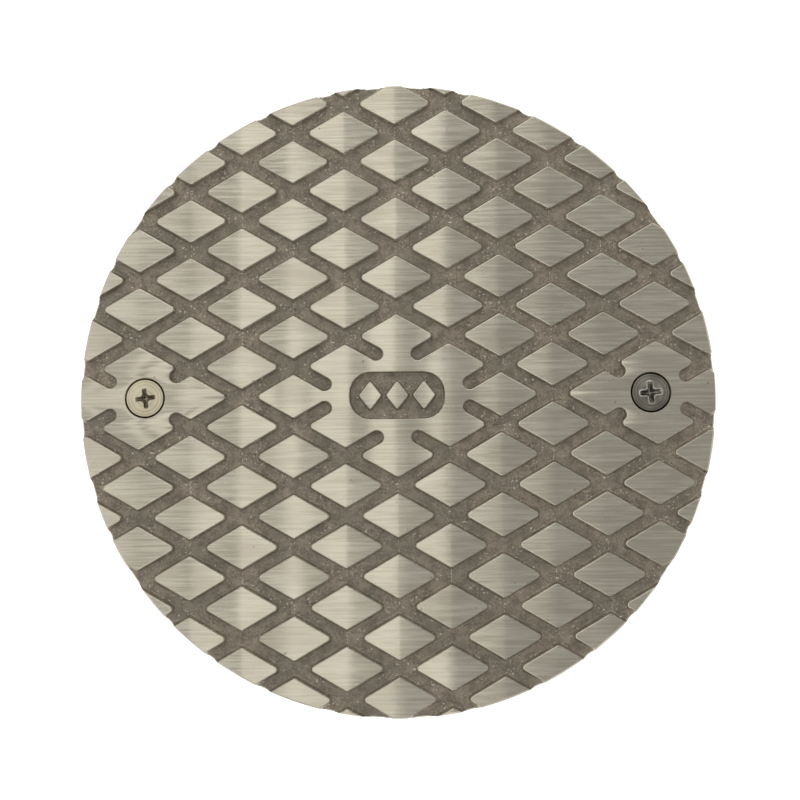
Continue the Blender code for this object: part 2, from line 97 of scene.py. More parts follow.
@dataclass
class NodeBench:
    """A material's node tree, with the one function that adds a node to it."""

    name: str
    material: bpy.types.Material = field(init=False)

    def __post_init__(self) -> None:
        """Starts an empty material that is shaded by nodes."""
        self.material = bpy.data.materials.new(self.name)
        self.material.use_nodes = True
        self.material.node_tree.nodes.clear()

    def add(self, kind: str, inputs: dict | None = None, **settings: object) -> bpy.types.Node:
        """Adds a node, sets its properties, and sets or links its inputs.

        Args:
            kind: the node's type without its "ShaderNode" prefix.
            inputs: input name or index to a value, or to the socket that feeds it.
            settings: properties of the node itself.

        Returns:
            The new node.
        """
        tree = self.material.node_tree
        made = tree.nodes.new("ShaderNode" + kind)
        for key, value in settings.items():
            setattr(made, key, value)
        for key, value in (inputs or {}).items():
            socket = made.inputs[key]
            if isinstance(value, Socket):
                tree.links.new(value, socket)
            else:
                socket.default_value = value
        return made

    def object_place(self, scale: Sequence[float]) -> Socket:
        """Object coordinates, stretched so that each axis counts in its own number of repeats a metre."""
        place = self.add("TexCoord").outputs["Object"]
        return self.add("Mapping", {"Vector": place, "Scale": tuple(scale)}).outputs["Vector"]

    def noise(self, scale_mm: Sequence[float], detail: float = 2.0, rough: float = 0.5) -> Socket:
        """Noise on the object's own place, its grain sized along X, Y and Z.

        Args:
            scale_mm: the grain's size along each axis.
            detail: how many finer layers lie on it.
            rough: how strong each finer layer is.

        Returns:
            The noise, about 0.2 to 0.8.
        """
        place = self.object_place([1 / (size * MM) for size in scale_mm])
        inputs = {"Vector": place, "Scale": 1.0, "Detail": detail, "Roughness": rough}
        return self.add("TexNoise", inputs).outputs["Fac"]

    def ramp(self, value: Socket, low: float, high: float, to_low: float = 0.0, to_high: float = 1.0) -> Socket:
        """Carries low..high smoothly to to_low..to_high and holds it outside."""
        inputs = {"Value": value, 1: low, 2: high, 3: to_low, 4: to_high}
        return self.add("MapRange", inputs, interpolation_type="SMOOTHSTEP").outputs["Result"]

    def mix(self, share: Socket | float, low: object, high: object) -> Socket:
        """A colour between two, by share."""
        inputs = {0: share, 6: low, 7: high}
        return self.add("Mix", inputs, data_type="RGBA").outputs[2]

    def math(self, operation: str, left: object, right: object = 0.0) -> Socket:
        """One sum on two values."""
        return self.add("Math", {0: left, 1: right}, operation=operation).outputs[0]

    def bump(self, height: Socket, depth_mm: float, under: Socket | None = None) -> Socket:
        """A normal bent by height, on top of another bump where one is given.

        Args:
            height: the pattern, from 0 to 1.
            depth_mm: how deep the pattern goes.
            under: the normal that it bends further.

        Returns:
            The bent normal.
        """
        inputs: dict = {"Height": height, "Distance": depth_mm * MM, "Strength": 1.0}
        if under is not None:
            inputs["Normal"] = under
        return self.add("Bump", inputs).outputs["Normal"]

    def finish(self, inputs: dict) -> bpy.types.Material:
        """Closes the tree with a Principled shader.

        Args:
            inputs: the shader's values and links by name.

        Returns:
            The finished material.
        """
        shader = self.add("BsdfPrincipled", inputs).outputs[0]
        self.add("OutputMaterial", {"Surface": shader})
        return self.material


# ----------------------------------------------------------------------------------------------
# Finishes
# ----------------------------------------------------------------------------------------------


@dataclass(frozen=True)
class BrushedBronze:
    """Cast metal ground flat on a belt that ran along X: fine straight scratches and a stretched gloss.

    A belt's own scratches are some 0.03 mm wide. They are drawn 0.17 mm wide, and in streaks 0.5 mm
    apart, so that they show from where a whole cover is seen.
    """

    name: str
    light: str
    dark: str
    roughness: float = 0.18
    anisotropy: float = 0.85
    scratch_mm: tuple[float, float] = (7.0, 0.17)
    line_mm: tuple[float, float] = (16.0, 0.5)
    scratch_depth_mm: float = 0.005
    wave_mm: float = 17.0
    wave_depth_mm: float = 0.05
    pore_mm: float = 1.5
    ridge_every_mm: float = 12.7
    ridge_slope: float = 0.0

    def ridged(self, bench: NodeBench, under: Socket) -> Socket:
        """Lays low ridges across the scratches, one at each column of the tread.

        The height is the cosine of x over the spacing, sized so that its steepest slope is the one given.

        Args:
            bench: the material's node tree.
            under: the normal that the ridges bend further.

        Returns:
            The bent normal.
        """
        place = bench.add("TexCoord").outputs["Object"]
        across = bench.add("SeparateXYZ", {0: place}).outputs["X"]
        turns = math.tau / (self.ridge_every_mm * MM)
        wave = bench.math("COSINE", bench.math("MULTIPLY", across, turns))
        height = bench.math("MULTIPLY", wave, self.ridge_slope / turns)
        inputs = {"Height": height, "Distance": 1.0, "Strength": 1.0, "Normal": under}
        return bench.add("Bump", inputs).outputs["Normal"]

    def build(self) -> bpy.types.Material:
        """Builds the material.

        Returns:
            The material.
        """
        bench = NodeBench(self.name)
        length, width = self.scratch_mm
        fine = bench.noise((length, width, width), detail=3.0, rough=0.6)
        long, apart = self.line_mm
        line = bench.noise((long, apart, apart), detail=2.0)
        stain = bench.noise((14.0, 9.0, 9.0), detail=3.0)
        pores = bench.noise((self.pore_mm, self.pore_mm, self.pore_mm), detail=1.0)
        pore = bench.ramp(pores, 0.755, 0.80)
        tone = bench.math("ADD", bench.math("MULTIPLY", line, 0.55), bench.math("MULTIPLY", stain, 0.45))
        metal = bench.mix(bench.ramp(tone, 0.36, 0.66), linear(self.dark), linear(self.light))
        colour = bench.mix(bench.math("MULTIPLY", pore, 0.45), metal, linear("#5C564B"))
        rough = bench.ramp(line, 0.3, 0.7, self.roughness - 0.03, self.roughness + 0.05)
        wave = bench.noise((self.wave_mm, self.wave_mm * 2.2, self.wave_mm), detail=0.0)
        rolled = bench.bump(wave, self.wave_depth_mm)
        if self.ridge_slope:
            rolled = self.ridged(bench, rolled)
        lined = bench.bump(line, self.scratch_depth_mm * 1.3, rolled)
        scratched = bench.bump(fine, self.scratch_depth_mm, lined)
        along = bench.add("Tangent", direction_type="UV_MAP", uv_map=BRUSH_MAP).outputs[0]
        return bench.finish(
            {
                "Base Color": colour,
                "Metallic": 1.0,
                "Roughness": rough,
                "Anisotropic": self.anisotropy,
                "Tangent": along,
                "Normal": scratched,
            }
        )


@dataclass(frozen=True)
class CastMetal:
    """Metal left as it came from the sand: dull, grainy, blotched by the pour, with bright specks and pits.

    Moulding sand is 0.2 to 0.3 mm across. The grain is drawn 0.42 mm across, so that it shows.
    """

    name: str
    light: str
    dark: str
    blotch: str
    roughness: float = 0.62
    metallic: float = 0.85
    grain_mm: float = 0.42
    grain_depth_mm: float = 0.07
    speck: str = "#E2DBCB"
    pit: str = "#4A443B"
    speck_share: float = 0.685

    def build(self) -> bpy.types.Material:
        """Builds the material.

        Returns:
            The material.
        """
        bench = NodeBench(self.name)
        grain = bench.noise((self.grain_mm,) * 3, detail=4.0, rough=0.6)
        lumps = bench.noise((2.6,) * 3, detail=3.0)
        pour = bench.noise((11.0,) * 3, detail=3.0)
        tone = bench.math("ADD", bench.math("MULTIPLY", grain, 0.5), bench.math("MULTIPLY", lumps, 0.5))
        metal = bench.mix(bench.ramp(tone, 0.36, 0.64), linear(self.dark), linear(self.light))
        tinted = bench.mix(bench.ramp(pour, 0.42, 0.62, 0.0, 0.4), metal, linear(self.blotch))
        specks = bench.noise((0.55,) * 3, detail=1.0)
        clumps = bench.ramp(bench.noise((3.6,) * 3, detail=1.0), 0.42, 0.62, 0.15, 1.0)
        bright = bench.ramp(specks, self.speck_share - 0.03, self.speck_share + 0.02, 0.0, 0.9)
        sunk = bench.ramp(specks, 0.27, 0.33, 0.75, 0.0)
        pitted = bench.mix(bench.math("MULTIPLY", sunk, clumps), tinted, linear(self.pit))
        colour = bench.mix(bench.math("MULTIPLY", bright, clumps), pitted, linear(self.speck))
        sand = bench.bump(lumps, self.grain_depth_mm * 1.5)
        return bench.finish(
            {
                "Base Color": colour,
                "Metallic": self.metallic,
                "Roughness": bench.ramp(grain, 0.3, 0.7, self.roughness + 0.08, self.roughness - 0.08),
                "Normal": bench.bump(grain, self.grain_depth_mm, sand),
            }
        )


@dataclass(frozen=True)
class TurnedMetal:
    """Metal cut on a lathe about Z, or about another upright axis: fine rings in the gloss and the colour.

    A lathe's feed marks are about 0.1 mm apart. The rings are drawn 0.3 mm apart, so that they show.
    """

    name: str
    light: str
    dark: str
    centre_mm: tuple[float, float] = (0.0, 0.0)
    roughness: float = 0.33
    ring_mm: float = 0.3
    ring_depth_mm: float = 0.006

    def build(self) -> bpy.types.Material:
        """Builds the material: rings are noise on the radius and the height alone.

        Returns:
            The material.
        """
        bench = NodeBench(self.name)
        place = bench.add("TexCoord").outputs["Object"]
        middle = (-self.centre_mm[0] * MM, -self.centre_mm[1] * MM, 0.0)
        moved = bench.add("Mapping", {"Vector": place, "Location": middle}).outputs["Vector"]
        flat = bench.add("VectorMath", {0: moved, 1: (1.0, 1.0, 0.0)}, operation="MULTIPLY").outputs[0]
        radius = bench.add("VectorMath", {0: flat}, operation="LENGTH").outputs["Value"]
        height = bench.add("SeparateXYZ", {0: moved}).outputs["Z"]
        both = bench.add("CombineXYZ", {0: radius, 1: height}).outputs[0]
        scale = 1 / (self.ring_mm * MM)
        rings = bench.add("TexNoise", {"Vector": both, "Scale": scale, "Detail": 3.0}).outputs["Fac"]
        stain = bench.noise((6.0, 6.0, 6.0), detail=4.0)
        tone = bench.math("ADD", bench.math("MULTIPLY", rings, 0.5), bench.math("MULTIPLY", stain, 0.5))
        return bench.finish(
            {
                "Base Color": bench.mix(bench.ramp(tone, 0.38, 0.64), linear(self.dark), linear(self.light)),
                "Metallic": 1.0,
                "Roughness": bench.ramp(stain, 0.3, 0.7, self.roughness - 0.06, self.roughness + 0.1),
                "Normal": bench.bump(rings, self.ring_depth_mm),
            }
        )


@dataclass(frozen=True)
class DippedIron:
    """Sand-cast grey iron dipped in a dark drain coating: soft black gloss over coarse grain.

    The grain is drawn 0.9 mm across, which is what the coating leaves of the sand's, a little coarser than real.
    """

    name: str
    light: str
    dark: str

    def build(self) -> bpy.types.Material:
        """Builds the material.

        Returns:
            The material.
        """
        bench = NodeBench(self.name)
        grain = bench.noise((0.9, 0.9, 0.9), detail=5.0, rough=0.62)
        lumps = bench.noise((5.0, 5.0, 5.0), detail=3.0)
        runs = bench.noise((7.0, 7.0, 30.0), detail=4.0)
        colour = bench.mix(bench.ramp(runs, 0.35, 0.68), linear(self.dark), linear(self.light))
        dusty = bench.ramp(grain, 0.62, 0.78, 0.0, 0.35)
        sand = bench.bump(lumps, 0.28)
        return bench.finish(
            {
                "Base Color": bench.mix(dusty, colour, linear("#5E5B57")),
                "Metallic": 0.0,
                "Roughness": bench.ramp(runs, 0.3, 0.7, 0.42, 0.6),
                "Normal": bench.bump(grain, 0.16, sand),
            }
        )


@dataclass(frozen=True)
class MouldedRubber:
    """Black neoprene: a dull moulded skin, a little dusty."""

    name: str
    light: str
    dark: str

    def build(self) -> bpy.types.Material:
        """Builds the material.

        Returns:
            The material.
        """
        bench = NodeBench(self.name)
        dust = bench.noise((1.6, 1.6, 1.6), detail=4.0)
        grain = bench.noise((0.25, 0.25, 0.25), detail=2.0)
        return bench.finish(
            {
                "Base Color": bench.mix(bench.ramp(dust, 0.42, 0.72), linear(self.dark), linear(self.light)),
                "Roughness": bench.ramp(dust, 0.3, 0.7, 0.62, 0.8),
                "Normal": bench.bump(grain, 0.02),
            }
        )


@dataclass(frozen=True)
class PaleFloor:
    """The studio floor: plain pale matt paper."""

    name: str
    colour: str
    glow: float

    def build(self) -> bpy.types.Material:
        """Builds the material.

        Returns:
            The material.
        """
        bench = NodeBench(self.name)
        inputs = {
            "Base Color": linear(self.colour),
            "Roughness": 0.9,
            "Emission Color": linear("#FFFFFF"),
            "Emission Strength": self.glow,
        }
        return bench.finish(inputs)


# ----------------------------------------------------------------------------------------------
# Levels and radii that several pieces share, in millimetres
# ----------------------------------------------------------------------------------------------


@dataclass(frozen=True)
class Levels:
    """Heights above the outlet's end face at rest."""

    shoulder: float = 42.0
    shank_foot: float = 46.0
    flange_foot: float = 47.0
    flange_top: float = 52.0
    barrel_top: float = 74.0
    frame_foot: float = 76.0
    frame_top: float = 92.0
    cover_foot: float = 94.0
    tread_foot: float = 98.9
    tread_top: float = 100.4
    screw_top: float = 100.1


LEVELS = Levels()
SCREW_X = 62.0
COVER_RADIUS = 77.8
SLOPE = math.radians(30)


# ----------------------------------------------------------------------------------------------
# Outlines and surfaces
# ----------------------------------------------------------------------------------------------


@dataclass
class Outline:
    """A closed counter-clockwise outline: its points and the unit directions out of it."""

    points: np.ndarray
    outward: np.ndarray

    def grown(self, distance: float) -> np.ndarray:
        """The outline moved outwards by a distance, each point along its own direction."""
        return self.points + self.outward * distance

    def filled(self, step: float) -> Outline:
        """Lets points in along the straight sides: a side's ends, mixed by evenly growing shares.

        Args:
            step: the furthest that two neighbours may lie apart. A side under two steps is left alone.

        Returns:
            The denser outline.
        """
        following = np.roll(self.points, -1, axis=0)
        turned = np.roll(self.outward, -1, axis=0)
        gaps = np.linalg.norm(following - self.points, axis=1)
        counts = np.where(gaps > 2 * step, np.ceil(gaps / step), 1).astype(int)
        owner = np.repeat(np.arange(len(gaps)), counts)
        number = np.arange(len(owner)) - np.repeat(np.cumsum(counts) - counts, counts)
        share = (number / counts[owner])[:, None]
        points = self.points[owner] * (1 - share) + following[owner] * share
        return Outline(points, self.outward[owner] * (1 - share) + turned[owner] * share)


def rounded_outline(corners: Sequence[Sequence[float]], radii: Sequence[float] | float) -> Outline:
    """Rounds a polygon's corners with arcs that touch both sides.

    An arc's points are its centre plus the radius times directions turned evenly from one side's
    outward direction to the next side's. A hollow corner's centre lies outside.

    Args:
        corners: the polygon's corners, counter-clockwise.
        radii: one radius for every corner, or one for all.

    Returns:
        The rounded outline.
    """
    corner = np.asarray(corners, float)
    radius = np.broadcast_to(np.asarray(radii, float), len(corner))
    before = corner - np.roll(corner, 1, axis=0)
    after = np.roll(corner, -1, axis=0) - corner
    before /= np.linalg.norm(before, axis=1)[:, None]
    after /= np.linalg.norm(after, axis=1)[:, None]
    turn = np.arctan2(np.cross(before, after), (before * after).sum(1))
    bisector = after - before
    bisector /= np.linalg.norm(bisector, axis=1)[:, None]
    centre = corner + bisector * (radius / np.cos(turn / 2))[:, None]
    start = np.arctan2(-before[:, 0], before[:, 1])
    points, outward = [], []
    for index, bend in enumerate(turn):
        steps = max(2, math.ceil(abs(bend) / ARC_STEP) + 1)
        angle = start[index] + np.linspace(0, bend, steps)
        facing = np.column_stack((np.cos(angle), np.sin(angle)))
        points.append(centre[index] + facing * radius[index] * math.copysign(1, bend))
        outward.append(facing)
    return Outline(np.vstack(points), np.vstack(outward))


def round_outline(radius: float, centre: tuple[float, float] = (0.0, 0.0), steps: int = SMALL_STEPS) -> Outline:
    """Draws a circle: the centre plus the radius times evenly turned directions.

    Args:
        radius: the circle's radius.
        centre: its centre.
        steps: how many points it has.

    Returns:
        The circle, counter-clockwise.
    """
    angle = np.arange(steps) * math.tau / steps
    facing = np.column_stack((np.cos(angle), np.sin(angle)))
    return Outline(np.asarray(centre) + facing * radius, facing)


def softened(profile: Sequence[Sequence[float]], radii: Sequence[float] | float, closed: bool) -> np.ndarray:
    """Rounds the corners of a (radius, height) profile that is listed outwards along the top, then down.

    Args:
        profile: the corners. An open profile starts and ends on the axis.
        radii: rounding radius of each corner, or of all.
        closed: whether the last corner joins the first.

    Returns:
        The profile's points as rows of radius and height.
    """
    corner = np.asarray(profile, float)
    radius = np.broadcast_to(np.asarray(radii, float), len(corner)).copy()
    if closed:
        return rounded_outline(corner[::-1], radius[::-1]).points[::-1]
    inner = [corner[:1]]
    for index in range(1, len(corner) - 1):
        trio = corner[index - 1 : index + 2]
        inner.append(softened_corner(trio, radius[index]))
    return np.vstack([*inner, corner[-1:]])


def softened_corner(trio: np.ndarray, radius: float) -> np.ndarray:
    """Rounds the middle one of three points: the arc's centre plus its radius times directions turned evenly.

    Args:
        trio: the three points in order.
        radius: the arc's radius.

    Returns:
        The arc's points, or the middle point alone where there is nothing to round.
    """
    into = trio[1] - trio[0]
    out = trio[2] - trio[1]
    into, out = into / np.linalg.norm(into), out / np.linalg.norm(out)
    bend = math.atan2(into[0] * out[1] - into[1] * out[0], float(into @ out))
    if radius <= 0 or abs(bend) < math.radians(1):
        return trio[1:2]
    back = radius * math.tan(abs(bend) / 2)
    side = np.array([-into[1], into[0]]) * math.copysign(1, bend)
    centre = trio[1] - into * back + side * radius
    steps = max(3, math.ceil(abs(bend) / (ARC_STEP * 1.5)) + 1)
    angle = np.linspace(0, bend, steps)
    arm = -side * radius
    cos, sin = np.cos(angle), np.sin(angle)
    return centre + np.column_stack((arm[0] * cos - arm[1] * sin, arm[0] * sin + arm[1] * cos))


@dataclass
class Shell:
    """Gathers grids and caps, in millimetres, that make up one closed piece."""

    name: str
    points: list[np.ndarray] = field(default_factory=list)
    faces: list[tuple[int, ...]] = field(default_factory=list)
    count: int = 0

    def put(self, points: np.ndarray) -> int:
        """Adds points.

        Args:
            points: any shape of array whose last axis is x, y, z.

        Returns:
            The first point's number.
        """
        first = self.count
        self.points.append(np.asarray(points, float).reshape(-1, 3))
        self.count += len(self.points[-1])
        return first

    def grid(self, points: np.ndarray, ring: bool = True, loop: bool = False) -> None:
        """Adds a surface over a grid of points.

        Rows run down the outside and columns counter-clockwise, so each face's own turn points out.

        Args:
            points: rows by columns by three.
            ring: whether the last column joins the first.
            loop: whether the last row joins the first.
        """
        rows, columns = points.shape[:2]
        number = np.arange(rows * columns).reshape(rows, columns) + self.put(points)
        across = np.hstack((number, number[:, :1])) if ring else number
        both = np.vstack((across, across[:1])) if loop else across
        quads = np.stack((both[:-1, :-1], both[1:, :-1], both[1:, 1:], both[:-1, 1:]), axis=-1)
        self.faces.extend(map(tuple, quads.reshape(-1, 4).tolist()))

    def cap(self, rings: Sequence[np.ndarray], height: float, up: bool = True) -> None:
        """Closes a flat end: the first ring is its edge and any more are holes in it.

        Args:
            rings: outlines as rows of x and y.
            height: the cap's level.
            up: whether it faces up.
        """
        flat = [[Vector((x, y, 0)) for x, y in ring] for ring in rings]
        triangles = tessellate_polygon(flat)
        together = np.vstack(rings)
        first = self.put(np.column_stack((together, np.full(len(together), height))))
        for a, b, c in triangles:
            one, two = together[b] - together[a], together[c] - together[a]
            facing_up = one[0] * two[1] - one[1] * two[0] > 0
            order = (a, b, c) if facing_up == up else (a, c, b)
            self.faces.append(tuple(first + index for index in order))

    def loft(
        self,
        outline: Outline,
        wall: Sequence[Sequence[float]],
        holes: Sequence[np.ndarray] = (),
    ) -> None:
        """Stands an outline up as a solid: each wall row is the outline grown by its distance at its height.

        Args:
            outline: the outline at a growth of nothing.
            wall: rows of growth and height, from the top down.
            holes: outlines left open in the top.
        """
        rings = [outline.grown(growth) for growth, _ in wall]
        layers = [np.column_stack((ring, np.full(len(ring), wall[i][1]))) for i, ring in enumerate(rings)]
        self.grid(np.stack(layers))
        self.cap([rings[0], *holes], wall[0][1])
        self.cap([rings[-1]], wall[-1][1], up=False)

    def turned(
        self,
        profile: np.ndarray,
        steps: int = ROUND_STEPS,
        centre: tuple[float, float] = (0.0, 0.0),
        loop: bool = False,
    ) -> None:
        """Turns a (radius, height) profile about an upright axis: x and y are radius times cosine and sine.

        Args:
            profile: rows of radius and height, outwards along the top and then down.
            steps: how many columns make the round.
            centre: the axis.
            loop: whether the last row joins the first.
        """
        angle = np.arange(steps) * math.tau / steps
        radius, height = profile[:, 0][:, None], profile[:, 1][:, None]
        x = centre[0] + radius * np.cos(angle)
        y = centre[1] + radius * np.sin(angle)
        self.grid(np.stack((x, y, np.broadcast_to(height, x.shape)), axis=-1), loop=loop)

    def thread(self, thread: Thread, centre: tuple[float, float] = (0.0, 0.0)) -> None:
        """Adds a threaded wall. Its rings' radius and height follow the thread's own formula."""
        self.grid(thread.wall() + np.array([centre[0], centre[1], 0.0]))

    def mesh_object(self) -> bpy.types.Object:
        """Makes the mesh in metres, with meeting points merged.

        Returns:
            The new object, in the scene.
        """
        mesh = bpy.data.meshes.new(self.name)
        mesh.from_pydata(np.vstack(self.points) * MM, [], self.faces)
        work = bmesh.new()
        work.from_mesh(mesh)
        bmesh.ops.remove_doubles(work, verts=work.verts, dist=WELD_MM * MM)
        work.to_mesh(mesh)
        work.free()
        mesh.validate()
        made = bpy.data.objects.new(self.name, mesh)
        bpy.context.scene.collection.objects.link(made)
        return made


@dataclass(frozen=True)
class Thread:
    """A helical thread outside a wall that runs down from one height to another, fading out at both ends."""

    crest: float
    root: float
    top: float
    foot: float
    pitch: float
    turn_steps: int = 96
    pitch_steps: int = 8
    fade_mm: float = 1.2
    crest_share: float = 0.12

    def wall(self) -> np.ndarray:
        """Radius runs between crest and root with height over pitch less angle over a turn.

        Returns:
            The wall as rows by columns by three, from the top down.
        """
        rows = max(8, math.ceil((self.top - self.foot) / self.pitch * self.pitch_steps)) + 1
        height = np.linspace(self.top, self.foot, rows)
        angle = np.arange(self.turn_steps) * math.tau / self.turn_steps
        phase = height[:, None] / self.pitch - angle / math.tau
        saw = np.abs((phase % 1.0) * 2 - 1)
        flank = np.clip((saw - self.crest_share) / (1 - 2 * self.crest_share), 0, 1)
        ends = np.minimum(self.top - height, height - self.foot) / self.fade_mm
        fade = np.clip(ends, 0, 1)[:, None]
        radius = self.root + flank * (self.crest - self.root) * fade
        x, y = radius * np.cos(angle), radius * np.sin(angle)
        return np.stack((x, y, np.broadcast_to(height[:, None], x.shape)), axis=-1)


def boolean(target: bpy.types.Object, cutter: bpy.types.Object, operation: str) -> None:
    """Cuts or trims one mesh by another and removes the cutter.

    Args:
        target: the mesh that is changed.
        cutter: the closed solid that is used up.
        operation: DIFFERENCE, INTERSECT or UNION.
    """
    modifier = target.modifiers.new("cut", "BOOLEAN")
    modifier.operation = operation
    modifier.object = cutter
    modifier.solver = "EXACT"
    bpy.context.view_layer.update()
    settled = target.evaluated_get(bpy.context.evaluated_depsgraph_get())
    made = bpy.data.meshes.new_from_object(settled)
    target.modifiers.clear()
    old, target.data = target.data, made
    bpy.data.meshes.remove(old)
    spent = cutter.data
    bpy.data.objects.remove(cutter)
    bpy.data.meshes.remove(spent)


def joined(name: str, parts: Sequence[bpy.types.Object]) -> bpy.types.Object:
    """Makes several meshes one, as loose shells side by side.

    Args:
        name: the new piece's name.
        parts: the meshes, which are used up.

    Returns:
        The new piece.
    """
    work = bmesh.new()
    for part in parts:
        work.from_mesh(part.data)
    mesh = bpy.data.meshes.new(name)
    work.to_mesh(mesh)
    work.free()
    for part in parts:
        old = part.data
        bpy.data.objects.remove(part)
        bpy.data.meshes.remove(old)
    made = bpy.data.objects.new(name, mesh)
    bpy.context.scene.collection.objects.link(made)
    return made


@dataclass(frozen=True)
class FaceFacts:
    """Where each face of a mesh lies and how it faces, in millimetres."""

    centre: np.ndarray
    normal: np.ndarray

    @classmethod
    def of(cls, mesh: bpy.types.Mesh) -> FaceFacts:
        """Reads them from a mesh.

        Args:
            mesh: the mesh, in metres.

        Returns:
            The facts, one row for each face.
        """
        centre = np.zeros(len(mesh.polygons) * 3)
        normal = np.zeros(len(mesh.polygons) * 3)
        mesh.polygons.foreach_get("center", centre)
        mesh.polygons.foreach_get("normal", normal)
        return cls(centre.reshape(-1, 3) / MM, normal.reshape(-1, 3))

    def radius(self, x: float = 0.0) -> np.ndarray:
        """Distance from the upright axis through x."""
        return np.hypot(self.centre[:, 0] - x, self.centre[:, 1])

    def keep_level_flat(self, made: bpy.types.Object, limit: float = LEVEL_FACING) -> None:
        """Shades a piece's level faces flat, so that wide caps don't pick up their edges' shading."""
        made.data.polygons.foreach_set("use_smooth", np.abs(self.normal[:, 2]) <= limit)


def dress(
    made: bpy.types.Object,
    finishes: Sequence[bpy.types.Material],
    chosen: np.ndarray | None = None,
) -> None:
    """Gives a piece its finishes, smooth shading with sharp edges, and the map that its brushing follows.

    The map's first direction runs across the scratches: it is y, and its second is x turned round.

    Args:
        made: the piece.
        finishes: its materials.
        chosen: each face's material number.
    """
    mesh = made.data
    mesh.materials.clear()
    for finish in finishes:
        mesh.materials.append(finish)
    if chosen is None:
        chosen = np.zeros(len(mesh.polygons), np.int32)
    mesh.polygons.foreach_set("material_index", chosen.astype(np.int32))
    mesh.shade_smooth()
    mesh.set_sharp_from_angle(angle=SHARP_ANGLE)
    place = np.zeros(len(mesh.vertices) * 3)
    mesh.vertices.foreach_get("co", place)
    place = place.reshape(-1, 3)
    corner = np.zeros(len(mesh.loops), np.int32)
    mesh.loops.foreach_get("vertex_index", corner)
    layer = mesh.uv_layers.get(BRUSH_MAP) or mesh.uv_layers.new(name=BRUSH_MAP)
    both = np.column_stack((place[:, 1], -place[:, 0]))[corner] * BRUSH_REPEATS + 0.5
    layer.uv.foreach_set("vector", both.astype(np.float32).ravel())
    mesh.update()


def settle(made: bpy.types.Object, body: str, nodes: Iterable[str]) -> None:
    """Puts a finished piece on its body in place of the solids that it stands for, and reports it.

    Args:
        made: the piece.
        body: the body that it moves with.
        nodes: the solids that it replaces.
    """
    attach(made, body)
    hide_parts(*nodes)
    LOG.info("%s: %d faces, rides on %s", made.name, len(made.data.polygons), body)


# ----------------------------------------------------------------------------------------------
# Cover plate
# ----------------------------------------------------------------------------------------------


class Side(Enum):
    """Which of two mirrored places a piece is in: its value is the sign of its x."""

    LEFT = -1
    RIGHT = 1


@dataclass(frozen=True)
class Slot:
    """One slot in a block's side: where it lies along the side and how far out its round end's centre is."""

    offset: float
    end: float
    half_width: float = 1.68


def along_slope(across: float, along: float) -> tuple[float, float]:
    """Finds a point from the line that climbs at the grooves' slope.

    Args:
        across: distance from the line.
        along: distance along it.

    Returns:
        The point's x and y: the two distances times the slope's sine and cosine.
    """
    return (
        -math.sin(SLOPE) * across + math.cos(SLOPE) * along,
        math.cos(SLOPE) * across + math.sin(SLOPE) * along,
    )


@dataclass(frozen=True)
class TreadBlock:
    """A large diamond of the tread with slots in its four sides, from the upper right one round.

    In the skew measure a point's two distances are from the two groove directions: x is the second
    less the first, and y is their sum over twice the cosine of the slope.
    """

    centre: tuple[float, float]
    half: float
    sides: tuple[tuple[Slot, ...], ...]
    tip_radius: float = 0.8

    def outline(self) -> Outline:
        """Draws the block from its right tip round, one side at a time, with its slots let in.

        Returns:
            The rounded outline, counter-clockwise.
        """
        right, top = 2 * self.half, self.half / math.cos(SLOPE)
        tips = ((right, 0.0), (0.0, top), (-right, 0.0), (0.0, -top))
        turns = ((1, 1), (-1, 1), (-1, -1), (1, -1))
        corners: list[tuple[float, float]] = []
        radii: list[float] = []
        for tip, (flip_x, flip_y), slots in zip(tips, turns, self.sides, strict=True):
            corners.append(tip)
            radii.append(self.tip_radius)
            mouth: list[tuple[float, float]] = []
            rounding: list[float] = []
            for slot in slots:
                low, high = slot.offset - slot.half_width, slot.offset + slot.half_width
                end = (slot.end - slot.offset * 0.5) / math.cos(SLOPE) - slot.half_width
                mouth.append(along_slope(low, (self.half - 0.5 * low) / math.cos(SLOPE)))
                mouth.append(along_slope(low, end))
                mouth.append(along_slope(high, end))
                mouth.append(along_slope(high, (self.half - 0.5 * high) / math.cos(SLOPE)))
                rounding += [self.tip_radius, slot.half_width * 0.98, slot.half_width * 0.98, self.tip_radius]
            placed = [(x * flip_x, y * flip_y) for x, y in mouth]
            if flip_x * flip_y < 0:
                placed, rounding = placed[::-1], rounding[::-1]
            corners += placed
            radii += rounding
        moved = np.asarray(corners) + np.asarray(self.centre)
        return rounded_outline(moved, radii)


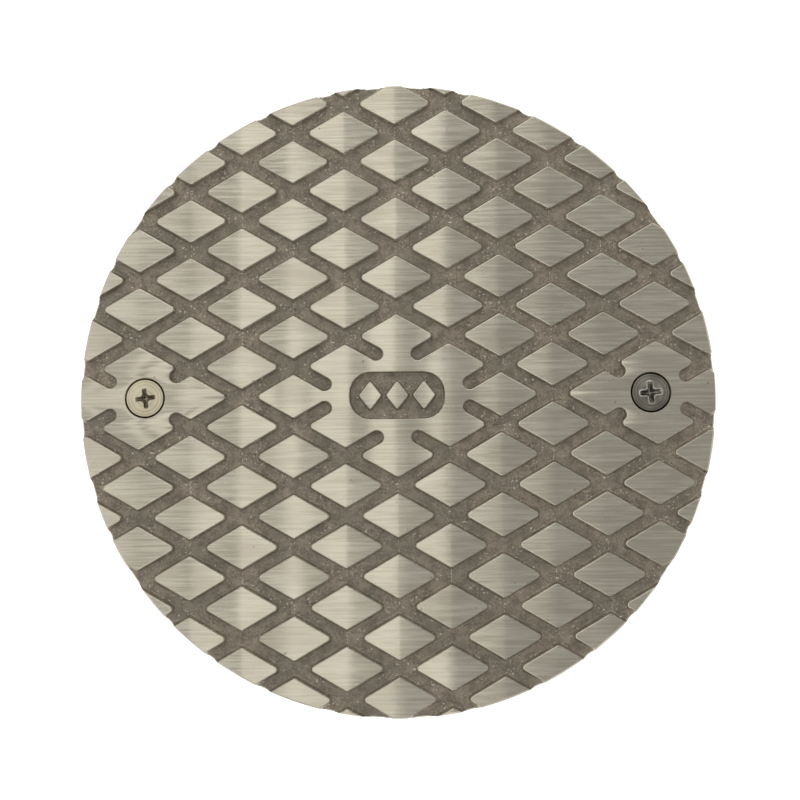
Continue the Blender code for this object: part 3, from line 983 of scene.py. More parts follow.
@dataclass
class CoverPlate:
    """The cast cover: a ribbed disc under a diamond tread, cut with an emblem pocket and two screw holes."""

    name: str = "cover_plate_cast"
    radius: float = COVER_RADIUS
    edge_chamfer: float = 0.5
    spacing: float = 12.7
    pad_half: float = 4.68
    block_half: float = 17.38
    block_slot_end: float = 11.45
    screw_block_half: float = 11.03
    ground_depth: float = 0.75
    sink_reach: float = 5.0
    pad_corner: float = 0.8
    pad_fill_step: float = 1.5
    top_depth: float = 0.7
    sunk_foot: float = 98.3
    ring_outer: float = 71.5
    ring_inner: float = 69.3
    ring_foot: float = 90.0
    rib_foot: float = 91.0
    ribs: int = 6
    rib_width: float = 3.0
    hub_radius: float = 9.0
    pocket: tuple[float, float, float] = (23.3, 11.6, 5.2)
    mark: tuple[float, float, float] = (5.6, 7.2, 6.6)
    bead_missing: float = 0.3
    tilt: float = 0.008
    crown_slope: float = 0.044
    crown_ridge: float = 1.7
    crown_wear: tuple[float, float] = (0.7, 1.15)
    crown_least: float = 0.15
    crown_growth: float = 28.0
    rim_fall: float = 0.011
    rim_fall_from: float = 28.0
    top_rings: tuple[float, ...] = (0.0, 0.35, 0.7, 0.93, 0.985)
    rim_steps: int = 288

    def wall(self, lean: float = 1.0) -> list[tuple[float, float]]:
        """A pad's side from its ground top down: a worn edge, a drafted side and a hollow at its foot.

        Args:
            lean: how far the side leans out, as a share of a plain pad's.

        Returns:
            Rows of growth and height.
        """
        top, foot = LEVELS.tread_top, LEVELS.tread_foot
        return [
            (-0.22, top),
            (-0.08, top - 0.04),
            (0.02, top - 0.15),
            (0.16 * lean, top - 0.6),
            (0.30 * lean, top - 1.08),
            (0.46 * lean, top - 1.34),
            (0.86 * lean, foot - 0.02),
            (0.88 * lean, self.sunk_foot),
        ]

    def pad_centres(self) -> tuple[np.ndarray, np.ndarray]:
        """Where the plain pads stand, as whole ones and ones that the rim cuts.

        A pad's centre is (second - first, (first + second) / (2 cos slope)) for whole steps of the spacing.

        Returns:
            The whole pads' centres and the cut pads' centres.
        """
        count = math.ceil(2 * self.radius / self.spacing)
        first, second = np.meshgrid(np.arange(-count, count + 1), np.arange(-count, count + 1))
        first, second = first.ravel(), second.ravel()
        taken = (np.abs(first) <= 1) & (np.abs(second) <= 1)
        for one, two in ((first, second), (second, first)):
            taken |= (one <= -2) & (one >= -3) & (two >= 2) & (two <= 3)
        x = (second - first) * self.spacing
        y = (first + second) * self.spacing / (2 * math.cos(SLOPE))
        centre = np.column_stack((x, y))[~taken]
        tips = np.array([(2, 0), (0, 1 / math.cos(SLOPE)), (-2, 0), (0, -1 / math.cos(SLOPE))]) * self.pad_half
        reach = np.linalg.norm(centre[:, None, :] + tips[None, :, :], axis=2)
        far, near = reach.max(1), reach.min(1)
        inner = np.linalg.norm(centre, axis=1)
        whole = far < self.radius - self.edge_chamfer
        crossing = ~whole & (np.minimum(near, inner) < self.radius - 1.2)
        return centre[whole], centre[crossing]

    def pad_outline(self) -> Outline:
        """One plain diamond: twice its half-side across, and its half-side over the slope's cosine up."""
        right, top = 2 * self.pad_half, self.pad_half / math.cos(SLOPE)
        return rounded_outline([(right, 0), (0, top), (-right, 0), (0, -top)], self.pad_corner)

    def pads(self, name: str, centres: np.ndarray, seed: int) -> bpy.types.Object:
        """Stands a plain pad at each centre, each ground at its own small tilt.

        A pad's top is its edge drawn in by shares to its middle. It falls by the tilt times the distance,
        and to both its ends from a soft ridge, by the slope times the logarithm of the hyperbolic cosine of x.
        The ridge is lowest at the left screw and grows to its full height over the stretch to its right.

        Args:
            name: the new mesh's name.
            centres: rows of x and y.
            seed: what the tilts and wear are drawn from.

        Returns:
            All the pads as one object.
        """
        template = Shell("pad")
        outline = self.pad_outline().filled(self.pad_fill_step)
        wall = self.wall()
        edge = outline.grown(wall[0][0])
        shrunk = [np.column_stack((edge * share, np.full(len(edge), wall[0][1]))) for share in self.top_rings]
        sides = [np.column_stack((outline.grown(out), np.full(len(edge), z))) for out, z in wall]
        template.grid(np.stack(shrunk + sides))
        template.cap([sides[-1][:, :2]], wall[-1][1], up=False)
        points = np.vstack(template.points)
        chance = np.random.default_rng(seed)
        slope = chance.normal(0, self.tilt, (len(centres), 2)) * (1.0, 0.5)
        ridge = self.crown_ridge * np.log(np.cosh(points[:, 0] / self.crown_ridge))
        share = np.clip((centres[:, 0] + SCREW_X) / self.crown_growth, self.crown_least, 1.0)
        worn = chance.uniform(*self.crown_wear, len(centres)) * share
        fall = worn[:, None] * self.crown_slope * ridge[None, :]
        lift = (points[None, :, :2] @ slope[:, :, None])[:, :, 0] - fall
        high = points[:, 2] > LEVELS.tread_top - self.top_depth
        sink = lift - lift[:, high].max(axis=1, keepdims=True)
        placed = np.repeat(points[None], len(centres), axis=0)
        placed[:, :, :2] += centres[:, None, :]
        placed[:, high, 2] += sink[:, high]
        made = Shell(name)
        for pad in placed:
            start = made.put(pad)
            made.faces.extend(tuple(start + index for index in face) for face in template.faces)
        return made.mesh_object()

    def centre_block(self) -> bpy.types.Object:
        """The middle block: its slotted side, its top with the emblem pocket, and the marks in the pocket.

        Returns:
            The block, its pocket and its three marks as one object.
        """
        slots = (Slot(-self.spacing / 2, self.block_slot_end), Slot(self.spacing / 2, self.block_slot_end))
        block = TreadBlock((0.0, 0.0), self.block_half, (slots,) * 4)
        made = Shell("centre_block")
        long, wide, corner = (self.pocket[0] / 2, self.pocket[1] / 2, self.pocket[2])
        box = [(long, -wide), (long, wide), (-long, wide), (-long, -wide)]
        pocket = rounded_outline(box, corner)
        floor = LEVELS.tread_foot + 0.03
        top = LEVELS.tread_top
        made.loft(block.outline(), self.wall(0.8), holes=[pocket.grown(0.2)])
        rows = [
            (0.2, top),
            (0.08, top - 0.03),
            (0.0, top - 0.12),
            (-0.16, floor + 0.4),
            (-0.26, floor + 0.18),
            (-0.46, floor + 0.03),
            (-0.6, floor),
        ]
        inside = [np.column_stack((pocket.grown(out), np.full(len(pocket.points), z))) for out, z in rows]
        made.grid(np.stack(inside[::-1]))
        made.cap([pocket.grown(-0.6)], floor)
        half_long, half_wide, pitch = self.mark[0] / 2, self.mark[1] / 2, self.mark[2]
        for place in (-1, 0, 1):
            x = place * pitch
            corners = [(x + half_long, 0), (x, half_wide), (x - half_long, 0), (x, -half_wide)]
            rows = [(-0.2, top), (-0.05, top - 0.05), (0.02, top - 0.2), (0.16, floor + 0.3), (0.36, floor - 0.2)]
            made.loft(rounded_outline(corners, 0.5), rows)
        return made.mesh_object()

    def screw_block(self, side: Side) -> bpy.types.Object:
        """The block round one screw, slotted on four sides, with its countersunk hole and cut by the rim.

        Its top falls by a steady slope over the stretch next to the rim.

        Args:
            side: which screw it is round.

        Returns:
            The cut block.
        """
        toward, outward = (Slot(0.0, 9.26, 1.7),), (Slot(0.0, 7.14, 1.62),)
        sides = (outward, toward, toward, outward) if side is Side.RIGHT else (toward, outward, outward, toward)
        block = TreadBlock((side.value * 5 * self.spacing, 0.0), self.screw_block_half, sides)
        made = Shell(f"screw_block_{side.name.lower()}")
        made.loft(block.outline(), self.wall(0.8))
        for points in made.points:
            high = points[:, 2] > LEVELS.tread_top - self.top_depth
            outer = np.maximum(side.value * points[:, 0] - self.radius + self.rim_fall_from, 0.0)
            points[high, 2] -= self.rim_fall * outer[high]
        solid = made.mesh_object()
        boolean(solid, self.rim_cutter(), "INTERSECT")
        boolean(solid, self.hole_cutter(side), "DIFFERENCE")
        return solid

    def rim_cutter(self) -> bpy.types.Object:
        """The cover's outside above the groove floor: a turned rim with its chamfer run on upwards.

        Returns:
            The solid that the cut pads and the screw blocks are kept within.
        """
        inner = self.radius - self.edge_chamfer
        top = LEVELS.tread_top
        profile = [
            (0, top + 1.0),
            (inner - 1.0, top + 1.0),
            (self.radius, top - self.edge_chamfer),
            (self.radius, self.sunk_foot - 0.1),
            (0, self.sunk_foot - 0.1),
        ]
        made = Shell("rim_cutter")
        made.turned(np.asarray(profile), self.rim_steps)
        return made.mesh_object()

    def hole_cutter(self, side: Side) -> bpy.types.Object:
        """A screw's countersink, the pocket for its seal and its clearance hole, as one turned solid.

        Args:
            side: which screw it is for.

        Returns:
            The solid to cut away.
        """
        profile = [
            (0, 101.0),
            (5.5, 101.0),
            (5.06, 100.42),
            (4.95, 100.2),
            (4.9, 99.8),
            (3.6, 98.42),
            (3.6, 96.92),
            (2.7, 96.92),
            (2.7, 93.0),
            (0, 93.0),
        ]
        made = Shell("hole_cutter")
        made.turned(np.asarray(profile), SMALL_STEPS, (side.value * SCREW_X, 0.0))
        return made.mesh_object()

    def disc(self) -> bpy.types.Object:
        """The disc under the tread with its locating ring, bored for the screws.

        Returns:
            The disc.
        """
        foot, floor = LEVELS.cover_foot, LEVELS.tread_foot
        corners = [
            (0, floor),
            (self.radius - 0.3, floor),
            (self.radius, floor - 0.3),
            (self.radius, foot),
            (self.ring_outer, foot),
            (self.ring_outer, self.ring_foot),
            (self.ring_inner, self.ring_foot),
            (self.ring_inner, foot),
            (0, foot),
        ]
        radii = [0, 0.1, 0.1, 0.4, 0.5, 0.4, 0.4, 1.2, 0]
        made = Shell("disc")
        made.turned(softened(corners, radii, closed=False), self.rim_steps)
        solid = made.mesh_object()
        for side in Side:
            boolean(solid, self.hole_cutter(side), "DIFFERENCE")
        return solid

    def stiffening(self) -> bpy.types.Object:
        """The hub and six ribs under the disc, each drafted with a hollow at its root.

        Returns:
            The hub and ribs as one object.
        """
        root, foot = LEVELS.cover_foot, self.rib_foot
        rows = [
            (1.0, root + 0.6),
            (1.0, root + 0.02),
            (0.62, root - 0.1),
            (0.28, root - 0.42),
            (0.12, root - 1.0),
            (0.0, foot + 0.5),
            (-0.12, foot + 0.16),
            (-0.42, foot),
        ]
        made = Shell("stiffening")
        made.loft(round_outline(self.hub_radius), rows)
        half = self.rib_width / 2
        reach = (self.ring_inner + self.ring_outer) / 2
        for number in range(self.ribs):
            turn = math.tau * (number + 0.5) / self.ribs
            cos, sin = math.cos(turn), math.sin(turn)
            flat = np.array([(4.0, -half), (reach, -half), (reach, half), (4.0, half)])
            turned = flat @ np.array([[cos, sin], [-sin, cos]])
            made.loft(rounded_outline(turned, 0.6), rows)
        return made.mesh_object()

    def casting_beads(self) -> bpy.types.Object:
        """Low beads left in a broken line where the pattern's cutting lines met, from one pad's tip to the next.

        A bead is a long thin diamond whose height falls away to its rim.

        Returns:
            All the beads as one object.
        """
        whole, _ = self.pad_centres()
        chance = np.random.default_rng(41)
        tip = self.pad_half / math.cos(SLOPE)
        step = self.spacing / (2 * math.cos(SLOPE))
        centres = whole + np.array([0.0, step])
        made = Shell("casting_beads")
        floor = LEVELS.tread_foot
        for x, y in centres:
            if chance.random() < self.bead_missing or math.hypot(x, y) > self.radius - 3:
                continue
            if abs(x) < 24 and abs(y) < 15:  # beside the middle block
                continue
            count = int(chance.integers(2, 5))
            cell = 2 * (step - tip) * 0.9 / count
            for index in range(count):
                middle = y + (index - (count - 1) / 2) * cell
                long = chance.uniform(0.2, 0.42) * cell
                lean = chance.uniform(-0.06, 0.06)
                wide = chance.uniform(0.08, 0.14)
                if chance.random() < 0.2:
                    continue
                corners = [
                    (x + wide + lean, middle),
                    (x + lean, middle + long),
                    (x - wide + lean, middle),
                    (x + lean, middle - long),
                ]
                rows = [(-0.03, floor + 0.13), (0.0, floor + 0.1), (0.06, floor - 0.1)]
                made.loft(rounded_outline(corners, 0.03), rows)
        return made.mesh_object()

    def build(
        self,
        brushed: bpy.types.Material,
        cast: bpy.types.Material,
        rim: bpy.types.Material,
        ridged: bpy.types.Material,
    ) -> bpy.types.Object:
        """Builds the whole cover and chooses each face's finish by its height, slant and distance out.

        Args:
            brushed: for what was ground flat.
            cast: for what was left as cast.
            rim: for what was turned.
            ridged: for the middle block's ground top.

        Returns:
            The finished piece.
        """
        whole, crossing = self.pad_centres()
        rim_pads = self.pads("rim_pads", crossing, 12)
        boolean(rim_pads, self.rim_cutter(), "INTERSECT")
        parts = [
            self.disc(),
            self.pads("whole_pads", whole, 11),
            rim_pads,
            self.centre_block(),
            self.screw_block(Side.LEFT),
            self.screw_block(Side.RIGHT),
            self.stiffening(),
        ]
        made = joined(self.name, parts)
        facts = FaceFacts.of(made.data)
        height, facing = facts.centre[:, 2], facts.normal[:, 2]
        ground = (height > LEVELS.tread_top - self.ground_depth) & (facing > TOP_FACING)
        outer = facts.radius() > self.radius - self.edge_chamfer - 0.05
        outside = outer & (height > LEVELS.cover_foot) & (facing < TOP_FACING)
        from_screw = np.minimum(facts.radius(SCREW_X), facts.radius(-SCREW_X))
        bored = (from_screw < self.sink_reach) & (np.abs(facing) < 0.98)
        ring = (facts.radius() > self.ring_inner - 0.2) & (height < LEVELS.cover_foot + 0.01)
        chosen = np.ones(len(height), np.int32)
        chosen[ground] = 0
        skew = np.abs(facts.centre[:, 0]) * math.tan(SLOPE) + np.abs(facts.centre[:, 1])
        chosen[ground & (skew * math.cos(SLOPE) < self.block_half)] = 3
        chosen[(outside | bored | ring) & ~ground] = 2
        dress(made, (brushed, cast, rim, ridged), chosen)
        facts.keep_level_flat(made, 0.999999)
        return made


# ----------------------------------------------------------------------------------------------
# Screws and seals
# ----------------------------------------------------------------------------------------------


@dataclass
class CoverScrew:
    """A No. 10 undercut flat-head screw with a cross recess and a rolled 24-to-the-inch thread."""

    side: Side
    turn_deg: float
    burred: bool
    head_radius: float = 4.54
    under_radius: float = 3.4
    shank_radius: float = 2.4
    root_radius: float = 1.92
    length: float = 19.0
    pitch: float = 1.058
    neck_foot: float = 96.4
    under_top: float = 98.42
    span: float = 5.2
    wing: float = 1.15
    depth: float = 1.9
    recess_foot: float = 98.1
    tip_round: float = 0.34
    hollow_round: float = 0.7

    @property
    def place(self) -> tuple[float, float]:
        """The screw's axis."""
        return (self.side.value * SCREW_X, 0.0)

    def cross(self) -> Outline:
        """Draws the recess: two crossed wings with round tips and hollow inner corners.

        Returns:
            The rounded outline about the screw's own axis.
        """
        reach, half = self.span / 2, self.wing / 2
        quarter = [(reach, -half), (reach, half), (half, half)]
        turn = math.radians(self.turn_deg)
        corners: list[tuple[float, float]] = []
        for number in range(4):
            angle = turn + number * math.pi / 2
            cos, sin = math.cos(angle), math.sin(angle)
            corners += [(x * cos - y * sin, x * sin + y * cos) for x, y in quarter]
        return rounded_outline(corners, [self.tip_round, self.tip_round, self.hollow_round] * 4)

    def recess_cutter(self) -> bpy.types.Object:
        """The driver's shape: the cross drawn in and narrowed with depth down to a blunt point.

        Returns:
            The solid to cut away.
        """
        outline = self.cross()
        top = LEVELS.screw_top
        rows = [(0.16, 1.02, 0.3), (0.1, 1.0, 0.0), (0.02, 0.99, -0.1), (-0.1, 0.86, -0.9), (-0.2, 0.66, -1.5)]
        rows.append((-0.26, 0.4, -self.depth))
        layers = [
            np.column_stack((outline.grown(out) * scale, np.full(len(outline.points), top + z)))
            for out, scale, z in rows
        ]
        shift = np.array([*self.place, 0.0])
        made = Shell("recess_cutter")
        made.grid(np.stack(layers) + shift)
        made.cap([layers[0][:, :2] + shift[:2]], top + rows[0][2])
        made.cap([layers[-1][:, :2] + shift[:2]], top + rows[-1][2], up=False)
        return made.mesh_object()

    def burr(self) -> bpy.types.Object:
        """Metal thrown up by a slipping driver: a thin bead round the cross, its height noise along the outline.

        Returns:
            The closed bead.
        """
        outline = self.cross()
        chance = np.random.default_rng(5)
        count = len(outline.points)
        bump = np.convolve(chance.random(count), np.ones(2) / 2, mode="same")
        top = LEVELS.screw_top
        rows = [(0.02, 0.02, 0.12), (0.2, 0.03, 0.1), (0.34, -0.02, 0.0), (0.3, -0.15, 0.0), (0.05, -0.15, 0.0)]
        layers = [
            np.column_stack((outline.grown(out), top + low + rise * bump)) for out, low, rise in rows
        ]
        made = Shell("burr")
        made.grid(np.stack(layers) + np.array([*self.place, 0.0]), loop=True)
        return made.mesh_object()

    def build(self, steel: bpy.types.Material, worn: bpy.types.Material) -> bpy.types.Object:
        """Builds the screw: the head and neck, the thread and the tip as one wall, then the recess.

        Args:
            steel: for the screw.
            worn: for its recess and burr: bare scuffed steel on one screw, and steel darkened as painted shade of the
                recess on the other.

        Returns:
            The finished piece.
        """
        side = self.side.name.lower()
        top = LEVELS.screw_top
        tip = top - self.length
        neck, under = self.neck_foot, self.under_top
        thread = Thread(self.shank_radius, self.root_radius, neck, tip + 0.8, self.pitch, SMALL_STEPS, 9, 0.9)
        head = [
            (0, top),
            (self.head_radius, top),
            (self.head_radius, top - 0.3),
            (self.under_radius, under),
            (self.shank_radius, under),
            (self.shank_radius, neck + 0.35),
            (self.root_radius, neck),
            (0, neck),
        ]
        made = Shell(f"cover_screw_{side}_steel")
        made.turned(softened(head, [0, 0.14, 0.1, 0.15, 0.2, 0.1, 0, 0], closed=False)[:-1], SMALL_STEPS, self.place)
        made.thread(thread, self.place)
        end = np.array([(self.root_radius, tip + 0.8), (1.5, tip), (0, tip)])
        made.turned(end, SMALL_STEPS, self.place)
        solid = made.mesh_object()
        boolean(solid, self.recess_cutter(), "DIFFERENCE")
        if self.burred:
            solid = joined(solid.name, [solid, self.burr()])
        facts = FaceFacts.of(solid.data)
        height, facing = facts.centre[:, 2], facts.normal[:, 2]
        inner = facts.radius(self.place[0]) < self.head_radius - 0.05
        recess = inner & (height < top - 0.06) & (height > self.recess_foot) & (facing > -0.2)
        raised = height > top + 0.012
        dress(solid, (steel, worn), (recess | raised).astype(np.int32))
        facts.keep_level_flat(solid)
        return solid


@dataclass(frozen=True)
class RubberRing:
    """A flat rubber ring with softly rounded edges."""

    name: str
    outer: float
    inner: float
    foot: float
    thickness: float
    centre: tuple[float, float] = (0.0, 0.0)
    steps: int = ROUND_STEPS

    def build(self, rubber: bpy.types.Material) -> bpy.types.Object:
        """Builds the ring: a closed section carried round the axis.

        Args:
            rubber: its material.

        Returns:
            The finished piece.
        """
        top = self.foot + self.thickness
        edge = min(0.35, self.thickness * 0.3)
        corners = [(self.inner, top), (self.outer, top), (self.outer, self.foot), (self.inner, self.foot)]
        made = Shell(self.name)
        made.turned(softened(corners, edge, closed=True), self.steps, self.centre, loop=True)
        solid = made.mesh_object()
        dress(solid, (rubber,))
        return solid


# ----------------------------------------------------------------------------------------------
# Height-adjusting frame
# ----------------------------------------------------------------------------------------------


@dataclass
class TopFrame:
    """The cast and turned bronze dish that carries the cover, on a threaded shank."""

    name: str = "top_frame_bronze"
    radius: float = 77.0
    land_inner: float = 72.0
    lip_height: float = 6.0
    taper: float = 6.5
    floor: float = 3.5
    shank_radius: float = 61.5
    shank_bore: float = 55.0
    thread_root: float = 60.0
    pitch: float = 3.175
    lug_radius: float = 6.5
    lug_top: float = 89.0
    lug_half: float = 6.5
    lug_nose: float = 6.3
    lug_bend: float = 86.0
    lug_hole: float = 2.46
    lug_hole_chamfer: float = 0.35
    hole_floor: float = 79.75

    def shell(self) -> Shell:
        """The dish and shank as one closed wall: the section turned, and the thread between its ends.

        Returns:
            The wall, ready for the lugs.
        """
        top, foot, end = LEVELS.frame_top, LEVELS.frame_foot, LEVELS.shank_foot
        inner_foot = self.land_inner - self.taper
        thread = Thread(self.shank_radius, self.thread_root, foot - 1.2, end + 1.8, self.pitch, ROUND_STEPS, 10, 3.0)
        section = [
            (self.thread_root, thread.foot),
            (self.thread_root - 0.4, end),
            (self.shank_bore, end),
            (self.shank_bore, foot + self.floor),
            (inner_foot, foot + self.floor),
            (self.land_inner, top - self.lip_height),
            (self.land_inner, top),
            (self.radius, top),
            (self.radius, top - self.lip_height),
            (self.radius - self.taper, foot),
            (self.shank_radius, foot),
            (self.shank_radius, thread.top + 0.8),
            (self.thread_root, thread.top),
        ]
        radii = [0, 0.8, 0.6, 0.8, 2.0, 1.5, 0.4, 0.4, 1.5, 1.2, 0.8, 0.2, 0]
        made = Shell(self.name)
        made.turned(softened(section, radii, closed=False), ROUND_STEPS)
        made.thread(thread)
        return made

    def lug(self, made: Shell, side: Side) -> None:
        """Adds one lug: a round-nosed boss run out into the dish's slanting wall, with a tapped hole.

        Args:
            made: the frame so far.
            side: which screw the lug is for.
        """
        end = self.radius - 1.6
        nose = SCREW_X - self.lug_radius
        half, bend = self.lug_half, self.lug_bend
        corners = np.array([(nose, -half), (end, -half), (end, half), (nose, half)]) * side.value
        outline = rounded_outline(corners, [self.lug_nose, 0.5, 0.5, self.lug_nose])
        levels = [(-0.5, self.lug_top), (-0.15, self.lug_top - 0.14), (0.0, self.lug_top - 0.5), (0.0, bend)]
        levels += [(0.1, 82.0), (0.2, 80.5), (0.8, 79.7), (0.9, 78.2)]
        layers = []
        for out, z in levels:
            flat = outline.grown(out)
            drawn = max(0.0, (bend - z) / (bend - LEVELS.frame_foot)) * self.taper
            outer = np.abs(flat[:, 0]) > SCREW_X + 2
            flat[outer, 0] -= side.value * drawn
            layers.append(np.column_stack((flat, np.full(len(flat), z))))
        made.grid(np.stack(layers))
        place = (side.value * SCREW_X, 0.0)
        chamfer = self.lug_hole_chamfer
        mouth = round_outline(self.lug_hole + chamfer, place, 32)
        made.cap([layers[0][:, :2], mouth.points], self.lug_top)
        made.cap([layers[-1][:, :2]], levels[-1][1], up=False)
        rows = [(0.0, self.lug_top), (-chamfer, self.lug_top - chamfer), (-chamfer, self.hole_floor)]
        bore = [np.column_stack((mouth.grown(out), np.full(len(mouth.points), z))) for out, z in rows]
        made.grid(np.stack(bore[::-1]))
        made.cap([bore[-1][:, :2]], self.hole_floor)

    def build(self, turned: bpy.types.Material, cast: bpy.types.Material) -> bpy.types.Object:
        """Builds the frame. Its lip, land, bore and thread are turned, and the rest is as cast.

        Args:
            turned: for what was turned.
            cast: for what was left as cast.

        Returns:
            The finished piece.
        """
        made = self.shell()
        for side in Side:
            self.lug(made, side)
        solid = made.mesh_object()
        facts = FaceFacts.of(solid.data)
        radius, height = facts.radius(), facts.centre[:, 2]
        lip = height > LEVELS.frame_top - self.lip_height
        shank = height < LEVELS.frame_foot
        tops = (height > self.lug_top - 0.6) & (facts.normal[:, 2] > 0.5)
        machined = (lip & (radius > self.land_inner - 0.5)) | shank | tops
        dress(solid, (cast, turned), machined.astype(np.int32))
        facts.keep_level_flat(solid)
        return solid


# ----------------------------------------------------------------------------------------------
# Closure plug
# ----------------------------------------------------------------------------------------------


@dataclass
class ClosurePlug:
    """A cup-shaped brass screw plug with a raised wrench square."""

    name: str = "closure_plug_brass"
    flange_radius: float = 53.3
    flange_foot: float = 44.6
    flange_top: float = 48.6
    thread_radius: float = 50.5
    thread_root: float = 49.1
    thread_foot: float = 31.0
    pitch: float = 3.175
    cup_radius: float = 45.5
    cup_top: float = 43.6
    square: float = 26.0
    square_top: float = 58.6

    def build(self, turned: bpy.types.Material, cast: bpy.types.Material) -> bpy.types.Object:
        """Builds the plug: the cup's section turned with a thread let in, and the square stood on it.

        Args:
            turned: for what was turned.
            cast: for what was left as cast.

        Returns:
            The finished piece.
        """
        high, low = self.flange_foot - 2.6, self.thread_foot + 0.8
        thread = Thread(self.thread_radius, self.thread_root, high, low, self.pitch, 192, 10, 2.0)
        upper = [
            (0, self.flange_top),
            (self.flange_radius, self.flange_top),
            (self.flange_radius, self.flange_foot),
            (self.thread_radius, self.flange_foot),
            (self.thread_radius, thread.top + 0.8),
            (self.thread_root, thread.top),
        ]
        lower = [
            (self.thread_root, thread.foot),
            (self.thread_root - 0.4, self.thread_foot),
            (self.cup_radius, self.thread_foot),
            (self.cup_radius, self.cup_top),
            (0, self.cup_top),
        ]
        made = Shell(self.name)
        made.turned(softened(upper, [0, 0.7, 0.5, 0.4, 0.2, 0], closed=False))
        made.thread(thread)
        made.turned(softened(lower, [0, 0.3, 0.6, 3.0, 0], closed=False))
        half = self.square / 2
        outline = rounded_outline([(half, -half), (half, half), (-half, half), (-half, -half)], 2.2)
        top, foot = self.square_top, self.flange_top
        rows = [
            (-0.9, top),
            (-0.45, top - 0.12),
            (-0.12, top - 0.45),
            (0.0, top - 0.9),
            (0.1, foot + 2.0),
            (0.35, foot + 1.1),
            (0.9, foot + 0.4),
            (1.9, foot - 0.02),
            (1.9, foot - 1.0),
        ]
        made.loft(outline, rows)
        solid = made.mesh_object()
        facts = FaceFacts.of(solid.data)
        height, radius = facts.centre[:, 2], facts.radius()
        as_cast = (height > self.flange_top + 0.02) | ((radius < self.cup_radius + 0.1) & (height < self.flange_foot))
        dress(solid, (turned, cast), as_cast.astype(np.int32))
        facts.keep_level_flat(solid)
        return solid


# ----------------------------------------------------------------------------------------------
# Body
# ----------------------------------------------------------------------------------------------


